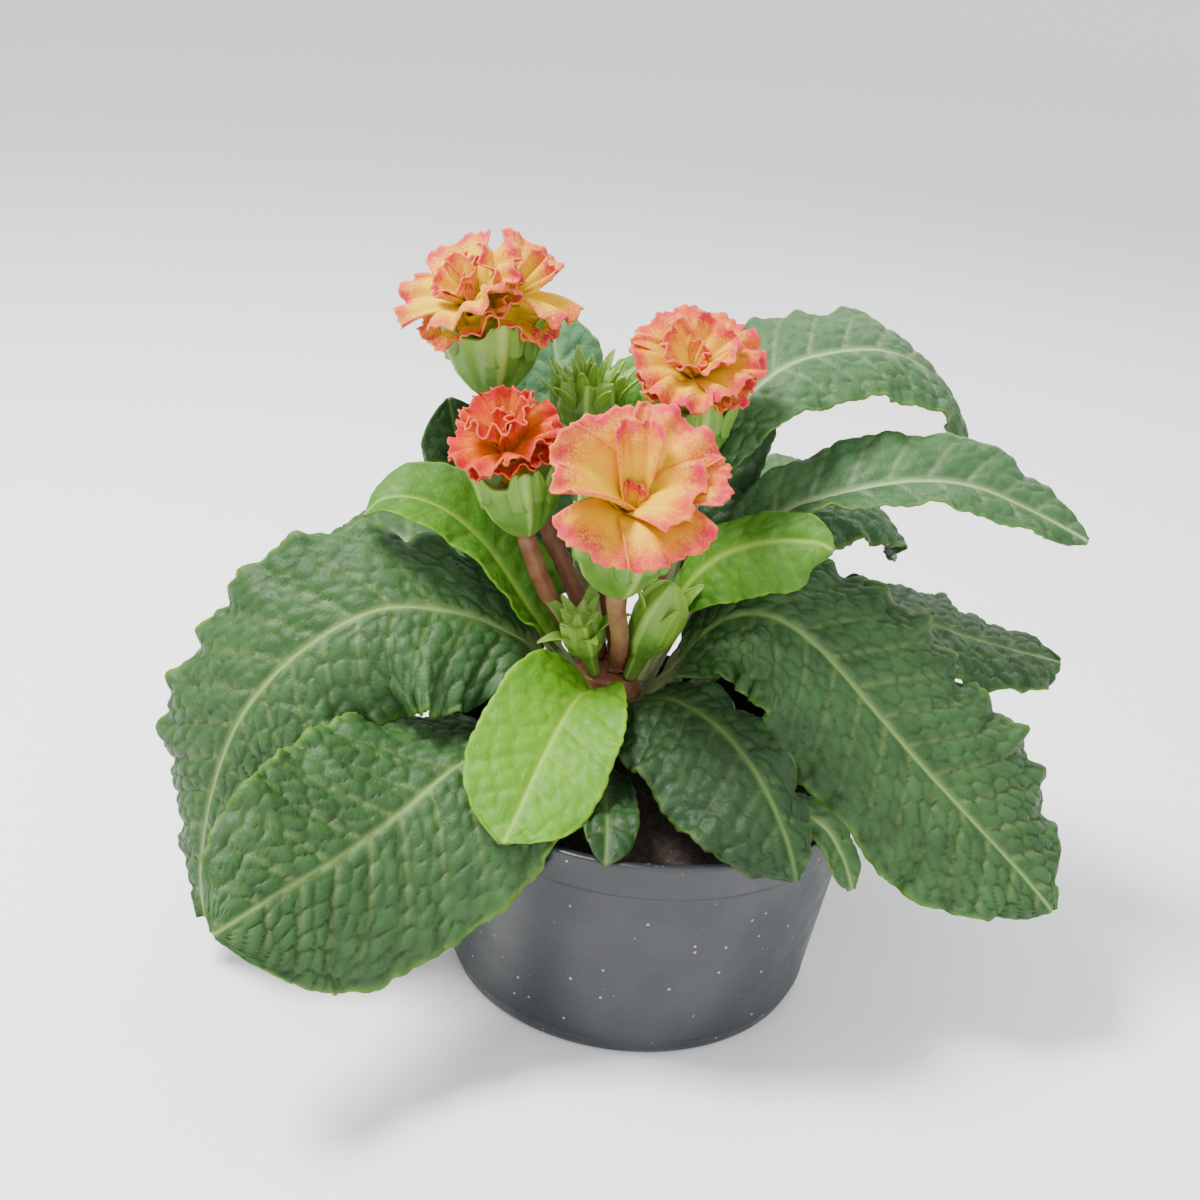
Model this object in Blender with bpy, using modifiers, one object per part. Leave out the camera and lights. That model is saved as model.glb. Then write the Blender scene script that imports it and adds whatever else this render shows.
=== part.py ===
"""A double primrose in a black plastic pot.

The frame stands on the floor: the origin is the centre of the pot's underside, +Z is up and the
viewer stands on the -Y side. The pot is filled with potting soil, a short crown stands in the soil,
and leaves, flower stalks and buds stand on the crown. Sizes are millimetres times MM.
"""

import math

import bmesh
import bpy
import numpy as np

MM = 0.001
SEAT_GAP = 0.35

# Pot: a thin turned shell with a lip band, a flat rim and drain holes
POT_HEIGHT = 66.0
POT_RIM_RADIUS = 61.0
POT_BAND_RADIUS = 60.4
POT_WALL_TOP_RADIUS = 59.2
POT_BASE_RADIUS = 51.5
POT_BAND_DROP = 9.5
POT_WALL = 1.6
POT_RIM_WIDTH = 4.2
POT_FOOT = 1.5
DRAIN_HOLES = 8
DRAIN_HOLE_RADIUS = 1.8
DRAIN_CIRCLE_RADIUS = 38.0

# Soil and crown
SOIL_TOP = 59.0
SOIL_MOUND = 4.0
CROWN_CENTRE = (-13.0, 8.0)
CROWN_RADIUS = 10.0
CROWN_TOP = 86.0
CROWN_BOTTOM = 32.0

# Blades
BLADE_THICKNESS = 0.8
STALK_THICKNESS = 3.0
STALK_HALF_WIDTH = 2.1
PETAL_THICKNESS = 0.7
FOOT_FULLNESS = 0.7
TIP_ROUNDNESS = 2.3
QUILT = 0.35
SCALLOP = 0.8
RIB = 1.0
CALYX_FLOOR = 0.78

# Steps of a smooth curve between two of its points, and where a blade and a petal have their points
CURVE_STEPS = 24
LEAF_ACROSS = np.array([-1.0, -0.5, 0.0, 0.5, 1.0])
PETAL_ALONG = np.array([0.02, 0.4, 0.72, 1.0])
PETAL_ACROSS = np.array([-1.0, -0.36, 0.36, 1.0])

# Leaves, from the crown's axis: azimuth in degrees (0 is +X, 270 is the viewer), the midrib as
# (reach, height) pairs, the half width to the left and right seen from the crown outwards, where
# along the blade each half is broadest, and the share of the length that is bare stalk. Roll lifts
# the left edge, fold is the V of the halves at the midrib and curl their further bend to the margin:
# each is a list of degrees from foot to tip. Drift bends the tip to the left.
LEAVES = {
    "leaf_left_big": dict(
        azimuth=200, width=(21, 30), broad=(0.26, 0.5), stalk=0.08, rows=12, drift=0,
        path=[(9, 78), (17, 86), (27, 96), (45, 105), (66, 107),
              (86, 96), (101, 78), (109, 55), (112, 32), (111, 16)],
        roll=[-10, -34, -42, -34, -20], fold=[14, 4], curl=[-8, -24], ruffle=2.6, waves=3.5, phase=0.4,
    ),
    "leaf_left_low": dict(
        azimuth=231, width=(35, 30), broad=(0.38, 0.45), stalk=0.1, rows=12, drift=0,
        path=[(9, 64), (20, 69), (36, 74), (56, 76), (76, 70), (96, 65), (114, 63), (134, 60)],
        roll=[0, 0, -12, -46, -54, -48], fold=[4, 2], curl=[-4, -14], ruffle=1.6, waves=3.0, phase=1.4,
    ),
    "leaf_front_bright": dict(
        azimuth=252, width=(18, 19), broad=(0.5, 0.42), stalk=0.03, rows=9, drift=0,
        path=[(9, 80), (17, 86), (27, 87), (39, 84), (51, 79), (62, 73), (71, 68)],
        roll=[-6, -14, -14], fold=[26, 4], curl=[12, -10], ruffle=0.8, waves=2.0, phase=0.0,
    ),
    "leaf_front_under": dict(
        azimuth=273, width=(8, 6), broad=(0.55, 0.55), stalk=0.3, rows=8, drift=0,
        path=[(9, 64.5), (22, 68), (38, 71), (52, 72), (62, 71), (70, 66)],
        roll=[0, 0], fold=[6, 2], curl=[0, -4], ruffle=1.0, waves=2.5, phase=2.0,
    ),
    "leaf_front_right": dict(
        azimuth=309, width=(10, 25), broad=(0.45, 0.45), stalk=0.05, rows=10, drift=0,
        path=[(9, 76), (18, 84), (30, 89), (48, 89.5), (64, 83.5), (76, 73), (82, 63)],
        roll=[16, 20, 22, 12], fold=[6, 2], curl=[-6, -14], ruffle=2.0, waves=3.0, phase=0.9,
    ),
    "leaf_right_tiny": dict(
        azimuth=321, width=(6, 6), broad=(0.6, 0.6), stalk=0.4, rows=7, drift=0,
        path=[(9, 66), (34, 68.8), (58, 70.4), (74, 70.4), (82, 65), (87, 56)],
        roll=[0, 10], fold=[6, 4], curl=[-6, -10], ruffle=0.8, waves=2.0, phase=0.3,
    ),
    "leaf_right_big": dict(
        azimuth=344, width=(34, 29), broad=(0.58, 0.5), stalk=0.08, rows=12, drift=0,
        path=[(9, 75), (18, 88), (29, 105), (42, 111), (56, 106),
              (72, 93), (88, 79), (104, 66), (120, 53), (131, 43)],
        roll=[20, 30, 38, 38], fold=[10, 2], curl=[-8, -18], ruffle=2.8, waves=3.5, phase=2.2,
    ),
    "leaf_right_arch": dict(
        azimuth=2, width=(15, 10), broad=(0.45, 0.45), stalk=0.24, rows=10, drift=0,
        path=[(9, 82), (17, 96), (28, 118), (42, 135), (58, 143),
              (76, 148), (92, 148), (108, 143), (126, 135)],
        roll=[0, 10, 30, 34], fold=[40, 26, 8], curl=[4, -16], ruffle=1.0, waves=4.0, phase=1.0,
    ),
    "leaf_right_top": dict(
        azimuth=29, width=(22, 17), broad=(0.55, 0.55), stalk=0.34, rows=10, drift=-16,
        path=[(9, 74), (14, 94), (19, 126), (27, 156), (40, 171),
              (56, 176), (73, 176), (88, 169), (98, 157), (101, 146)],
        roll=[0, 10, 24, 24], fold=[16, 4], curl=[-10, -22], ruffle=1.4, waves=4.0, phase=2.6,
    ),
    "leaf_left_young": dict(
        azimuth=186, width=(13, 14), broad=(0.45, 0.45), stalk=0.1, rows=9, drift=0,
        path=[(9, 83), (16, 92), (26, 106), (36, 120), (46, 129), (56, 133), (64, 132), (69, 127)],
        roll=[-20, -34, -26, -10], fold=[30, 12], curl=[16, -10], ruffle=0.6, waves=2.0, phase=0.6,
    ),
    "leaf_left_upright": dict(
        azimuth=158, width=(13, 13), broad=(0.55, 0.55), stalk=0.25, rows=9, drift=0,
        path=[(9, 74), (18, 88), (32, 108), (44, 126), (51, 141), (55, 153)],
        roll=[-20, -30], fold=[20, 8], curl=[0, -8], ruffle=0.8, waves=2.5, phase=1.8,
    ),
    "leaf_right_bright": dict(
        azimuth=340, width=(9, 14), broad=(0.55, 0.6), stalk=0.28, rows=10, drift=0,
        path=[(9, 85), (13, 97), (19, 114), (28, 126), (40, 133), (52, 136), (58, 135)],
        roll=[40, 50, 56], fold=[10, 4], curl=[-6, -18], ruffle=0.7, waves=2.0, phase=0.9,
    ),
    "leaf_right_dark": dict(
        azimuth=52, width=(15, 15), broad=(0.6, 0.6), stalk=0.3, rows=9, drift=0,
        path=[(9, 80), (16, 95), (27, 116), (36, 134), (42, 149), (44, 164)],
        roll=[10, 20], fold=[14, 6], curl=[-6, -14], ruffle=1.2, waves=2.5, phase=0.2,
    ),
    "leaf_back_right": dict(
        azimuth=39, width=(24, 24), broad=(0.55, 0.55), stalk=0.3, rows=9, drift=0,
        path=[(9, 67), (20, 88), (40, 113), (62, 126), (82, 128), (98, 119), (108, 103)],
        roll=[10, 12], fold=[8, 2], curl=[-8, -20], ruffle=1.6, waves=3.0, phase=1.1,
    ),
    "leaf_right_behind": dict(
        azimuth=13, width=(22, 20), broad=(0.55, 0.55), stalk=0.3, rows=9, drift=0,
        path=[(9, 65), (22, 76), (42, 91), (64, 100), (86, 101), (106, 95), (124, 90), (138, 86)],
        roll=[16, 10], fold=[8, 6], curl=[-8, -18], ruffle=1.6, waves=3.0, phase=0.5,
    ),
    "leaf_behind_flower": dict(
        azimuth=119, width=(16, 16), broad=(0.6, 0.6), stalk=0.35, rows=9, drift=0,
        path=[(9, 73), (16, 93), (28, 124), (40, 148), (49, 164), (56, 174)],
        roll=[0, 0], fold=[16, 6], curl=[-6, -12], ruffle=0.8, waves=2.5, phase=0.8,
    ),
    "leaf_behind_bud": dict(
        azimuth=84, width=(13, 13), broad=(0.6, 0.6), stalk=0.35, rows=8, drift=0,
        path=[(9, 79), (15, 96), (22, 126), (29, 148), (35, 160), (43, 166)],
        roll=[0, 0], fold=[16, 8], curl=[-6, -14], ruffle=0.8, waves=2.0, phase=2.4,
    ),
    "leaf_left_back": dict(
        azimuth=157, width=(24, 26), broad=(0.55, 0.55), stalk=0.26, rows=9, drift=0,
        path=[(9, 64), (20, 77), (38, 95), (58, 105), (78, 107), (94, 100), (104, 86)],
        roll=[-10, -10], fold=[10, 4], curl=[-8, -18], ruffle=1.8, waves=3.0, phase=1.5,
    ),
    "leaf_left_grey": dict(
        azimuth=141, width=(14, 14), broad=(0.6, 0.6), stalk=0.3, rows=9, drift=0,
        path=[(9, 82), (18, 94), (34, 112), (50, 128), (60, 138), (68, 144)],
        roll=[-14, -14], fold=[14, 6], curl=[-6, -14], ruffle=0.8, waves=2.5, phase=0.1,
    ),
    "leaf_back_one": dict(
        azimuth=65, width=(28, 28), broad=(0.55, 0.55), stalk=0.24, rows=10, drift=0,
        path=[(9, 70), (22, 80), (44, 94), (68, 98), (90, 90), (106, 72), (112, 52)],
        roll=[4, 8], fold=[10, 2], curl=[-8, -20], ruffle=2.2, waves=3.5, phase=0.7,
    ),
    "leaf_back_two": dict(
        azimuth=100, width=(28, 30), broad=(0.55, 0.55), stalk=0.22, rows=10, drift=0,
        path=[(9, 66), (16, 78), (26, 96), (44, 109), (66, 112), (88, 101), (102, 82), (108, 60)],
        roll=[0, -6], fold=[10, 2], curl=[-8, -20], ruffle=2.4, waves=3.5, phase=1.9,
    ),
    "leaf_back_three": dict(
        azimuth=133, width=(24, 25), broad=(0.55, 0.55), stalk=0.24, rows=9, drift=0,
        path=[(9, 65), (24, 70), (46, 76), (68, 75), (88, 66), (102, 50)],
        roll=[-6, -10], fold=[8, 2], curl=[-8, -18], ruffle=2.0, waves=3.0, phase=2.9,
    ),
}

# Flowers: where the green calyx starts and which way it points (both places), its length and widest
# radius, the stalk's foot on the crown's top (from the crown's axis) and a place on its way, and the
# heads of petals: where a head sits, the way it faces, and its whorls of petals, each (count, clock
# angle of the first, opening at the foot, opening at the end, length, width, cup at the foot, cup at
# the end, ruffle), with the clock angle read on the flower's face.
FLOWERS = {
    "front": dict(
        foot=(-13, -17, 120), aim=(-12, -22, 144), calyx=(23, 14.0), stalk=[(2.2, -5.2), (-10.8, -9, 103)],
        heads=[
            dict(seat=(-11.5, -21.5, 143), face=(0.03, -0.58, 0.81), whorls=[
                (1, 326, 14, 84, 29, 28, 50, -8, 1.3),
                (1, 356, 6, 60, 26, 18, 90, 70, 0.8),
                (1, 32, 14, 84, 30, 29, 50, -8, 1.3),
                (1, 84, 20, 94, 32, 18, 40, 20, 1.0),
                (1, 110, 12, 78, 27, 26, 60, 10, 1.2),
                (1, 146, 20, 108, 29, 28, 50, -14, 1.3),
                (1, 208, 22, 110, 26, 26, 50, -10, 1.2),
                (1, 262, 16, 82, 30, 30, 90, 66, 0.8),
                (1, 300, 20, 84, 30, 24, 50, 20, 1.4),
                (1, 20, 2, 16, 13, 8, 60, 40, 0.4),
            ]),
        ],
    ),
    "left": dict(
        foot=(-38, -3, 128), aim=(-43, -4, 150), calyx=(20, 11.5), stalk=[(-6.4, 0.2), (-31, 3, 108)],
        heads=[
            dict(seat=(-43, -4.5, 148), face=(-0.25, -0.32, 0.91), whorls=[
                (5, 0, 24, 92, 18, 20, 60, 0, 1.5),
                (4, 30, 12, 46, 19, 17, 80, 40, 1.6),
                (1, 70, 4, 16, 15, 13, 90, 60, 1.0),
            ]),
        ],
    ),
    "top": dict(
        foot=(-51, 20, 158), aim=(-53, 19, 184), calyx=(22, 13.6), stalk=[(-3.8, 5.0), (-31, 16, 118)],
        heads=[
            dict(seat=(-55.5, 16, 181), face=(-0.5, -0.46, 0.74), whorls=[
                (4, 10, 22, 92, 22, 23, 60, 0, 1.5),
                (3, 50, 8, 40, 16, 16, 80, 50, 1.0),
            ]),
            dict(seat=(-49.5, 19.5, 182.5), face=(0.5, -0.3, 0.82), whorls=[
                (3, 350, 20, 88, 21, 22, 60, 0, 1.5),
                (1, 40, 6, 30, 17, 14, 80, 50, 1.0),
            ]),
        ],
    ),
    "right": dict(
        foot=(3, 12, 145), aim=(1, 8, 172), calyx=(24, 12.0), stalk=[(4.8, 2.4), (-1, 9, 118)],
        heads=[
            dict(seat=(1, 8, 169.5), face=(0.05, -0.5, 0.86), whorls=[
                (6, 10, 22, 98, 22, 21, 60, -6, 1.5),
                (3, 35, 12, 56, 18, 20, 75, 30, 1.2),
                (1, 80, 4, 20, 13, 12, 90, 60, 0.8),
            ]),
        ],
    ),
}

# Buds: foot and aim as for a flower, length and widest radius, how far up the neck goes, the number
# and length of the sepal tips, and the stalk
BUDS = {
    "bud_cluster": dict(
        foot=(-25, 21, 148), aim=(-26, 20, 170), size=(19, 9.5), neck=0.1, tips=(8, 6.0),
        stalk=[(1.8, 6.0), (-19, 19, 118)],
    ),
    "bud_low_left": dict(
        foot=(-16.8, 1.4, 86.8), aim=(-24, -9, 113), size=(25, 5.8), neck=0.3, tips=(5, 4.0), stalk=None,
    ),
    "bud_low_right": dict(
        foot=(-6.8, 1.2, 86.9), aim=(3, -11, 126), size=(37, 6.8), neck=0.25, tips=(3, 2.0), stalk=None,
    ),
}
FLOWER_STALK_RADIUS = 2.5
STALK_GAP = 0.8

PLASTIC = ((0.045, 0.05, 0.055), 0.45)
SOIL = ((0.05, 0.035, 0.025), 0.95)
CROWN = ((0.28, 0.13, 0.10), 0.6)
LEAF_GREEN = ((0.09, 0.25, 0.06), 0.5)
BRIGHT_GREEN = ((0.22, 0.45, 0.06), 0.45)
CALYX_GREEN = ((0.34, 0.50, 0.14), 0.5)
PETAL_ORANGE = ((0.93, 0.48, 0.20), 0.6)


def clear_scene():
    for obj in list(bpy.data.objects):
        bpy.data.objects.remove(obj, do_unlink=True)


def new_collection(name):
    collection = bpy.data.collections.new(name)
    bpy.context.scene.collection.children.link(collection)
    return collection


def material(name, finish):
    colour, roughness = finish
    made = bpy.data.materials.new(name)
    made.use_nodes = True
    shader = made.node_tree.nodes["Principled BSDF"]
    shader.inputs["Base Color"].default_value = (*colour, 1.0)
    shader.inputs["Roughness"].default_value = roughness
    made.diffuse_color = (*colour, 1.0)
    return made


def link(obj, collection, finish=None):
    collection.objects.link(obj)
    if finish is not None:
        obj.data.materials.append(finish)
    return obj


def applied(obj):
    """Replaces the object's mesh by what its modifiers make of it."""
    bpy.context.view_layer.update()
    graph = bpy.context.evaluated_depsgraph_get()
    mesh = bpy.data.meshes.new_from_object(obj.evaluated_get(graph))
    obj.modifiers.clear()
    obj.data = mesh
    return obj


def turned(name, profile, steps, centre=(0.0, 0.0)):
    """A solid of revolution about the vertical through centre, from (radius, height) pairs in millimetres."""
    mesh = bpy.data.meshes.new(name)
    points = [(r * MM, 0.0, z * MM) for r, z in profile]
    mesh.from_pydata(points, [(i, i + 1) for i in range(len(points) - 1)], [])
    obj = bpy.data.objects.new(name, mesh)
    obj.location = (centre[0] * MM, centre[1] * MM, 0.0)
    screw = obj.modifiers.new("turn", "SCREW")
    screw.steps = steps
    screw.render_steps = steps
    screw.use_merge_vertices = True
    screw.merge_threshold = 0.00005
    return obj


def cylinder(name, centre, radius, low, high, sides):
    mesh = bpy.data.meshes.new(name)
    shape = bmesh.new()
    bmesh.ops.create_cone(
        shape,
        cap_ends=True,
        segments=sides,
        radius1=radius * MM,
        radius2=radius * MM,
        depth=(high - low) * MM,
    )
    bmesh.ops.translate(shape, vec=(centre[0] * MM, centre[1] * MM, (low + high) / 2 * MM), verts=shape.verts)
    shape.to_mesh(mesh)
    shape.free()
    return bpy.data.objects.new(name, mesh)


def cut(obj, cutter, cutters):
    link(cutter, cutters)
    cutter.hide_render = True
    cutter.display_type = "WIRE"
    boolean = obj.modifiers.new("cut " + cutter.name, "BOOLEAN")
    boolean.operation = "DIFFERENCE"
    boolean.solver = "MANIFOLD"
    boolean.object = cutter


def smooth_curve(points, samples):
    """A Catmull-Rom curve through the points, resampled evenly along its length."""
    pts = np.asarray(points, float)
    ends = np.vstack([2 * pts[0] - pts[1], pts, 2 * pts[-1] - pts[-2]])
    fine = []
    for i in range(1, len(ends) - 2):
        a, b, c, d = ends[i - 1 : i + 3]
        t = np.linspace(0, 1, CURVE_STEPS, endpoint=False)[:, None]
        square = (2 * a - 5 * b + 4 * c - d) * t**2
        cube = (3 * b - a - 3 * c + d) * t**3
        fine.append(0.5 * (2 * b + (c - a) * t + square + cube))
    fine = np.vstack([*fine, pts[-1:]])
    steps = np.concatenate([[0], np.cumsum(np.linalg.norm(np.diff(fine, axis=0), axis=1))])
    wanted = np.asarray(samples) * steps[-1]
    return np.stack([np.interp(wanted, steps, fine[:, k]) for k in range(3)], -1), steps[-1]


def unit(vectors):
    return vectors / np.linalg.norm(vectors, axis=-1, keepdims=True)


def bent(distance, first, bend):
    """How far across and up a strip reaches at a share of its width, turning from angle first by bend."""
    bend = np.where(np.abs(bend) < 1e-4, 1e-4, bend)
    end = first + bend * distance
    return (np.sin(end) - np.sin(first)) / bend, (np.cos(first) - np.cos(end)) / bend


def along_list(values, along):
    return np.radians(np.interp(along, np.linspace(0, 1, len(values)), values))[:, None]


def half_outline(x, width, broad):
    """Half width at each share of the blade: full towards the foot and rounded at the tip."""
    rising = np.sin(math.pi / 2 * np.clip(x / broad, 0, 1) ** FOOT_FULLNESS)
    falling = np.cos(math.pi / 2 * np.clip((x - broad) / (1 - broad), 0, 1) ** TIP_ROUNDNESS) ** 0.8
    return width * np.where(x < broad, rising, falling)


def leaf_surface(leaf, along, across):
    """The leaf's middle surface and its thickness, for arrays along (0 to 1) and across (-1 to 1)."""
    azimuth = math.radians(leaf["azimuth"])
    outward = np.array([math.cos(azimuth), math.sin(azimuth), 0.0])
    left = np.array([-math.sin(azimuth), math.cos(azimuth), 0.0])
    base = np.array([*CROWN_CENTRE, 0.0])
    path = [base + outward * r + np.array([0, 0, z]) for r, z in leaf["path"]]
    line, _ = smooth_curve(path, along)
    line = line + np.outer(leaf["drift"] * along**2, left)
    ahead = unit(np.gradient(line, axis=0))
    side = unit(left - (ahead @ left)[:, None] * ahead)
    up = np.cross(ahead, side)
    roll = along_list(leaf["roll"], along)
    side, up = side * np.cos(roll) + up * np.sin(roll), up * np.cos(roll) - side * np.sin(roll)
    x = np.clip((along - leaf["stalk"]) / (1 - leaf["stalk"]), 0, 1)
    stalk = STALK_HALF_WIDTH * (1 - 0.6 * x)
    t = np.abs(across)[None, :]
    halves = [np.maximum(half_outline(x, leaf["width"][k], leaf["broad"][k]), stalk)[:, None] for k in (0, 1)]
    half = np.where(across[None, :] > 0, halves[0], halves[1])
    sign = np.sign(across)[None, :]
    scallop = np.cos(math.pi * leaf["rows"] * x)[:, None] * t**4 * np.sin(math.pi * x)[:, None] ** 0.5
    reach, lift = bent(t, along_list(leaf["fold"], along), 2 * along_list(leaf["curl"], along))
    blade = np.clip(x * 4, 0, 1)[:, None]
    wave = np.sin(2 * math.pi * leaf["waves"] * x[:, None] + leaf["phase"] + 1.7 * sign)
    lift = lift * half + leaf["ruffle"] * blade * wave * t**2
    quilt = QUILT * blade * (1 - x[:, None] ** 6) * np.cos(math.pi * leaf["rows"] * x[:, None])
    lift = lift + quilt * np.sin(math.pi * t) * (half > 6)
    width = sign * reach * (half + SCALLOP * scallop * (half > 6))
    points = line[:, None] + side[:, None] * width[..., None] + up[:, None] * lift[..., None]
    taper = np.clip(1 - along / (leaf["stalk"] + 0.1), 0, 1)[:, None]
    rib = RIB * np.clip(1 - along, 0, 1)[:, None] * (t < 0.1) * (x[:, None] > 0)
    return points, BLADE_THICKNESS + (STALK_THICKNESS - BLADE_THICKNESS) * taper + rib


def sheet(name, points, thickness, thickest):
    """An open triangulated sheet of points in rows, thickened evenly to both sides by Solidify."""
    rows, columns = points.shape[:2]
    mesh = bpy.data.meshes.new(name)
    shape = bmesh.new()
    bmesh.ops.create_grid(shape, x_segments=columns - 1, y_segments=rows - 1, size=1.0)
    shape.verts.ensure_lookup_table()
    order = sorted(shape.verts, key=lambda v: (round(v.co.y, 5), round(v.co.x, 5)))
    for vert, place in zip(order, points.reshape(-1, 3)):
        vert.co = place * MM
    places = [vert.index for vert in order]
    bmesh.ops.triangulate(shape, faces=shape.faces, quad_method="SHORT_EDGE")
    shape.to_mesh(mesh)
    shape.free()
    obj = bpy.data.objects.new(name, mesh)
    group = obj.vertex_groups.new(name="thickness")
    for index, value in zip(places, thickness.reshape(-1)):
        group.add([index], float(value / thickest), "REPLACE")
    solid = obj.modifiers.new("thickness", "SOLIDIFY")
    solid.thickness = thickest * MM
    solid.offset = 0.0
    solid.vertex_group = "thickness"
    solid.thickness_vertex_group = 0.0
    return obj


def make_leaf(name, leaf):
    stalk_rows = np.linspace(0, leaf["stalk"], 3)[:-1]
    blade_rows = leaf["stalk"] + (1 - leaf["stalk"]) * (np.arange(leaf["rows"] + 1) / leaf["rows"])
    along = np.concatenate([stalk_rows, blade_rows])
    points, thickness = leaf_surface(leaf, along, LEAF_ACROSS)
    thickness = np.broadcast_to(thickness, points.shape[:2])
    return sheet(name, points, thickness, STALK_THICKNESS + RIB)


def frame_of(foot, aim):
    """The axis from foot to aim, with two directions across it: to the viewer's right and up the face."""
    axis = unit(np.asarray(aim, float) - np.asarray(foot, float))
    right = unit(np.cross([0.0, 1.0, 0.0], axis)) if abs(axis[1]) < 0.95 else np.array([1.0, 0, 0])
    return axis, right, np.cross(axis, right)


def lobed_body(name, foot, aim, sections, sides):
    """A closed body along an axis, lofted through rings of (height, radius, lobes, lobe depth, tip lift)."""
    axis, right, face_up = frame_of(foot, aim)
    mesh = bpy.data.meshes.new(name)
    shape = bmesh.new()
    rings = []
    for height, radius, lobes, depth, tip in sections:
        ring = []
        for i in range(sides):
            a = 2 * math.pi * i / sides
            wave = math.cos(lobes * a)
            r = radius * (1 + depth * wave)
            z = height + tip * wave
            place = np.asarray(foot, float) + axis * z + (right * math.cos(a) + face_up * math.sin(a)) * r
            ring.append(shape.verts.new(place * MM))
        rings.append(ring)
    for low, high in zip(rings, rings[1:]):
        for i in range(sides):
            j = (i + 1) % sides
            shape.faces.new((low[i], low[j], high[j], high[i]))
    shape.faces.new(rings[0][::-1])
    shape.faces.new(rings[-1])
    bmesh.ops.triangulate(shape, faces=shape.faces)
    bmesh.ops.recalc_face_normals(shape, faces=shape.faces)
    shape.to_mesh(mesh)
    shape.free()
    return bpy.data.objects.new(name, mesh)


def make_calyx(name, flower, lobes=5, tip=1.6):
    """A ribbed green cup with lobed edge; the petals' tube stands on the floor inside it."""
    length, radius = flower["calyx"]
    sections = [
        (0.0, 0.26 * radius, lobes, 0.0, 0.0),
        (0.12 * length, 0.46 * radius, lobes, 0.05, 0.0),
        (0.36 * length, 0.72 * radius, lobes, 0.09, 0.0),
        (0.68 * length, 0.92 * radius, lobes, 0.10, 0.0),
        (0.94 * length, radius, lobes, 0.10, tip),
        (0.94 * length, 0.88 * radius, lobes, 0.10, tip),
        (CALYX_FLOOR * length, 0.60 * radius, lobes, 0.0, 0.0),
    ]
    return lobed_body(name, flower["foot"], flower["aim"], sections, 4 * lobes)


def petal_surface(head, petal, along, across):
    """Points of one petal, from the head's seat outwards: it opens away from the axis to a ruffled fan."""
    clock, first, last, length, width, cup_foot, cup_end, ruffle, phase = petal
    seat = np.asarray(head["seat"], float)
    axis, right, face_up = frame_of(seat, seat + np.asarray(head["face"], float))
    clock = math.radians(clock)
    outward = right * math.sin(clock) + face_up * math.cos(clock)
    sideways = right * math.cos(clock) - face_up * math.sin(clock)
    v = across[None, :]
    notch = 0.06 * np.exp(-((v / 0.22) ** 2)) * along[:, None] ** 4
    s = along[:, None] * (1 - 0.16 * v**2 - notch)
    a0, a1 = math.radians(first), math.radians(last)
    angle = a0 + (a1 - a0) * s
    radial = length * (np.cos(a0) - np.cos(angle)) / (a1 - a0)
    axial = length * (np.sin(angle) - np.sin(a0)) / (a1 - a0)
    inner = axis * np.sin(angle)[..., None] - outward * np.cos(angle)[..., None]
    half = width / 2 * (0.16 + 0.84 * np.clip(s, 0, 1) ** 0.8)
    cup = np.radians(cup_foot + (cup_end - cup_foot) * s)
    cup = np.where(np.abs(cup) < 0.02, 0.02, cup)
    over = half * np.sin(cup * v) / cup
    lift = half * (1 - np.cos(cup * v)) / cup + ruffle * s**2 * np.sin(2.6 * math.pi * v + phase)
    return (
        seat
        + axis * axial[..., None]
        + outward * radial[..., None]
        + sideways * over[..., None]
        + inner * lift[..., None]
    )


def petals_of(head):
    """The petals of each whorl, spaced by the whorl's rule with small fixed departures."""
    for number, whorl in enumerate(head["whorls"]):
        count, clock, first, last, length, width, cup_foot, cup_end, ruffle = whorl
        for i in range(count):
            sway = math.sin(2.4 * i + 1.3 * number)
            many = count > 1
            yield (
                clock + 360 * i / count + 6 * sway * many, first + 2 * sway, last + 6 * sway * many,
                length * (1 + 0.05 * sway), width, cup_foot, cup_end, ruffle, 1.3 * i + 2.1 * number,
            )


def make_corolla(name, flower, hidden):
    """All petals of a flower, joined with the short tubes that they grow from."""
    axis, _, _ = frame_of(flower["foot"], flower["aim"])
    length, radius = flower["calyx"]
    floor = np.asarray(flower["foot"], float) + axis * (CALYX_FLOOR * length + SEAT_GAP)
    tube = 0.36 * radius
    sections = [(0.0, tube, 5, 0, 0), (1.6, tube * 1.1, 5, 0, 0), (3.6, tube, 5, 0, 0)]
    core = lobed_body(name, floor, floor + axis, sections, 10)
    pieces = bpy.data.collections.new(name + " petals")
    for order, head in enumerate(flower["heads"]):
        start = floor + axis * 2.4
        seat = np.asarray(head["seat"], float)
        face = unit(np.asarray(head["face"], float))
        rise = float(np.linalg.norm(seat + face * 2.0 - start))
        sections = [
            (0.0, 0.8 * tube, 5, 0, 0),
            (0.55 * rise, 0.8 * tube, 5, 0, 0),
            (rise, 4.2, 5, 0, 0),
            (rise + 2.4, 2.6, 5, 0, 0),
        ]
        neck = lobed_body(f"{name} tube {order}", start, seat + face * 2.0, sections, 8)
        hidden.objects.link(neck)
        pieces.objects.link(neck)
        for number, petal in enumerate(petals_of(head)):
            points = petal_surface(head, petal, PETAL_ALONG, PETAL_ACROSS)
            thickness = np.full(points.shape[:2], PETAL_THICKNESS)
            piece = sheet(f"{name} petal {order} {number}", points, thickness, PETAL_THICKNESS)
            hidden.objects.link(piece)
            applied(piece)
            pieces.objects.link(piece)
    hidden.objects.link(core)
    fuse(core, pieces)
    hidden.objects.unlink(core)
    return core


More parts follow.
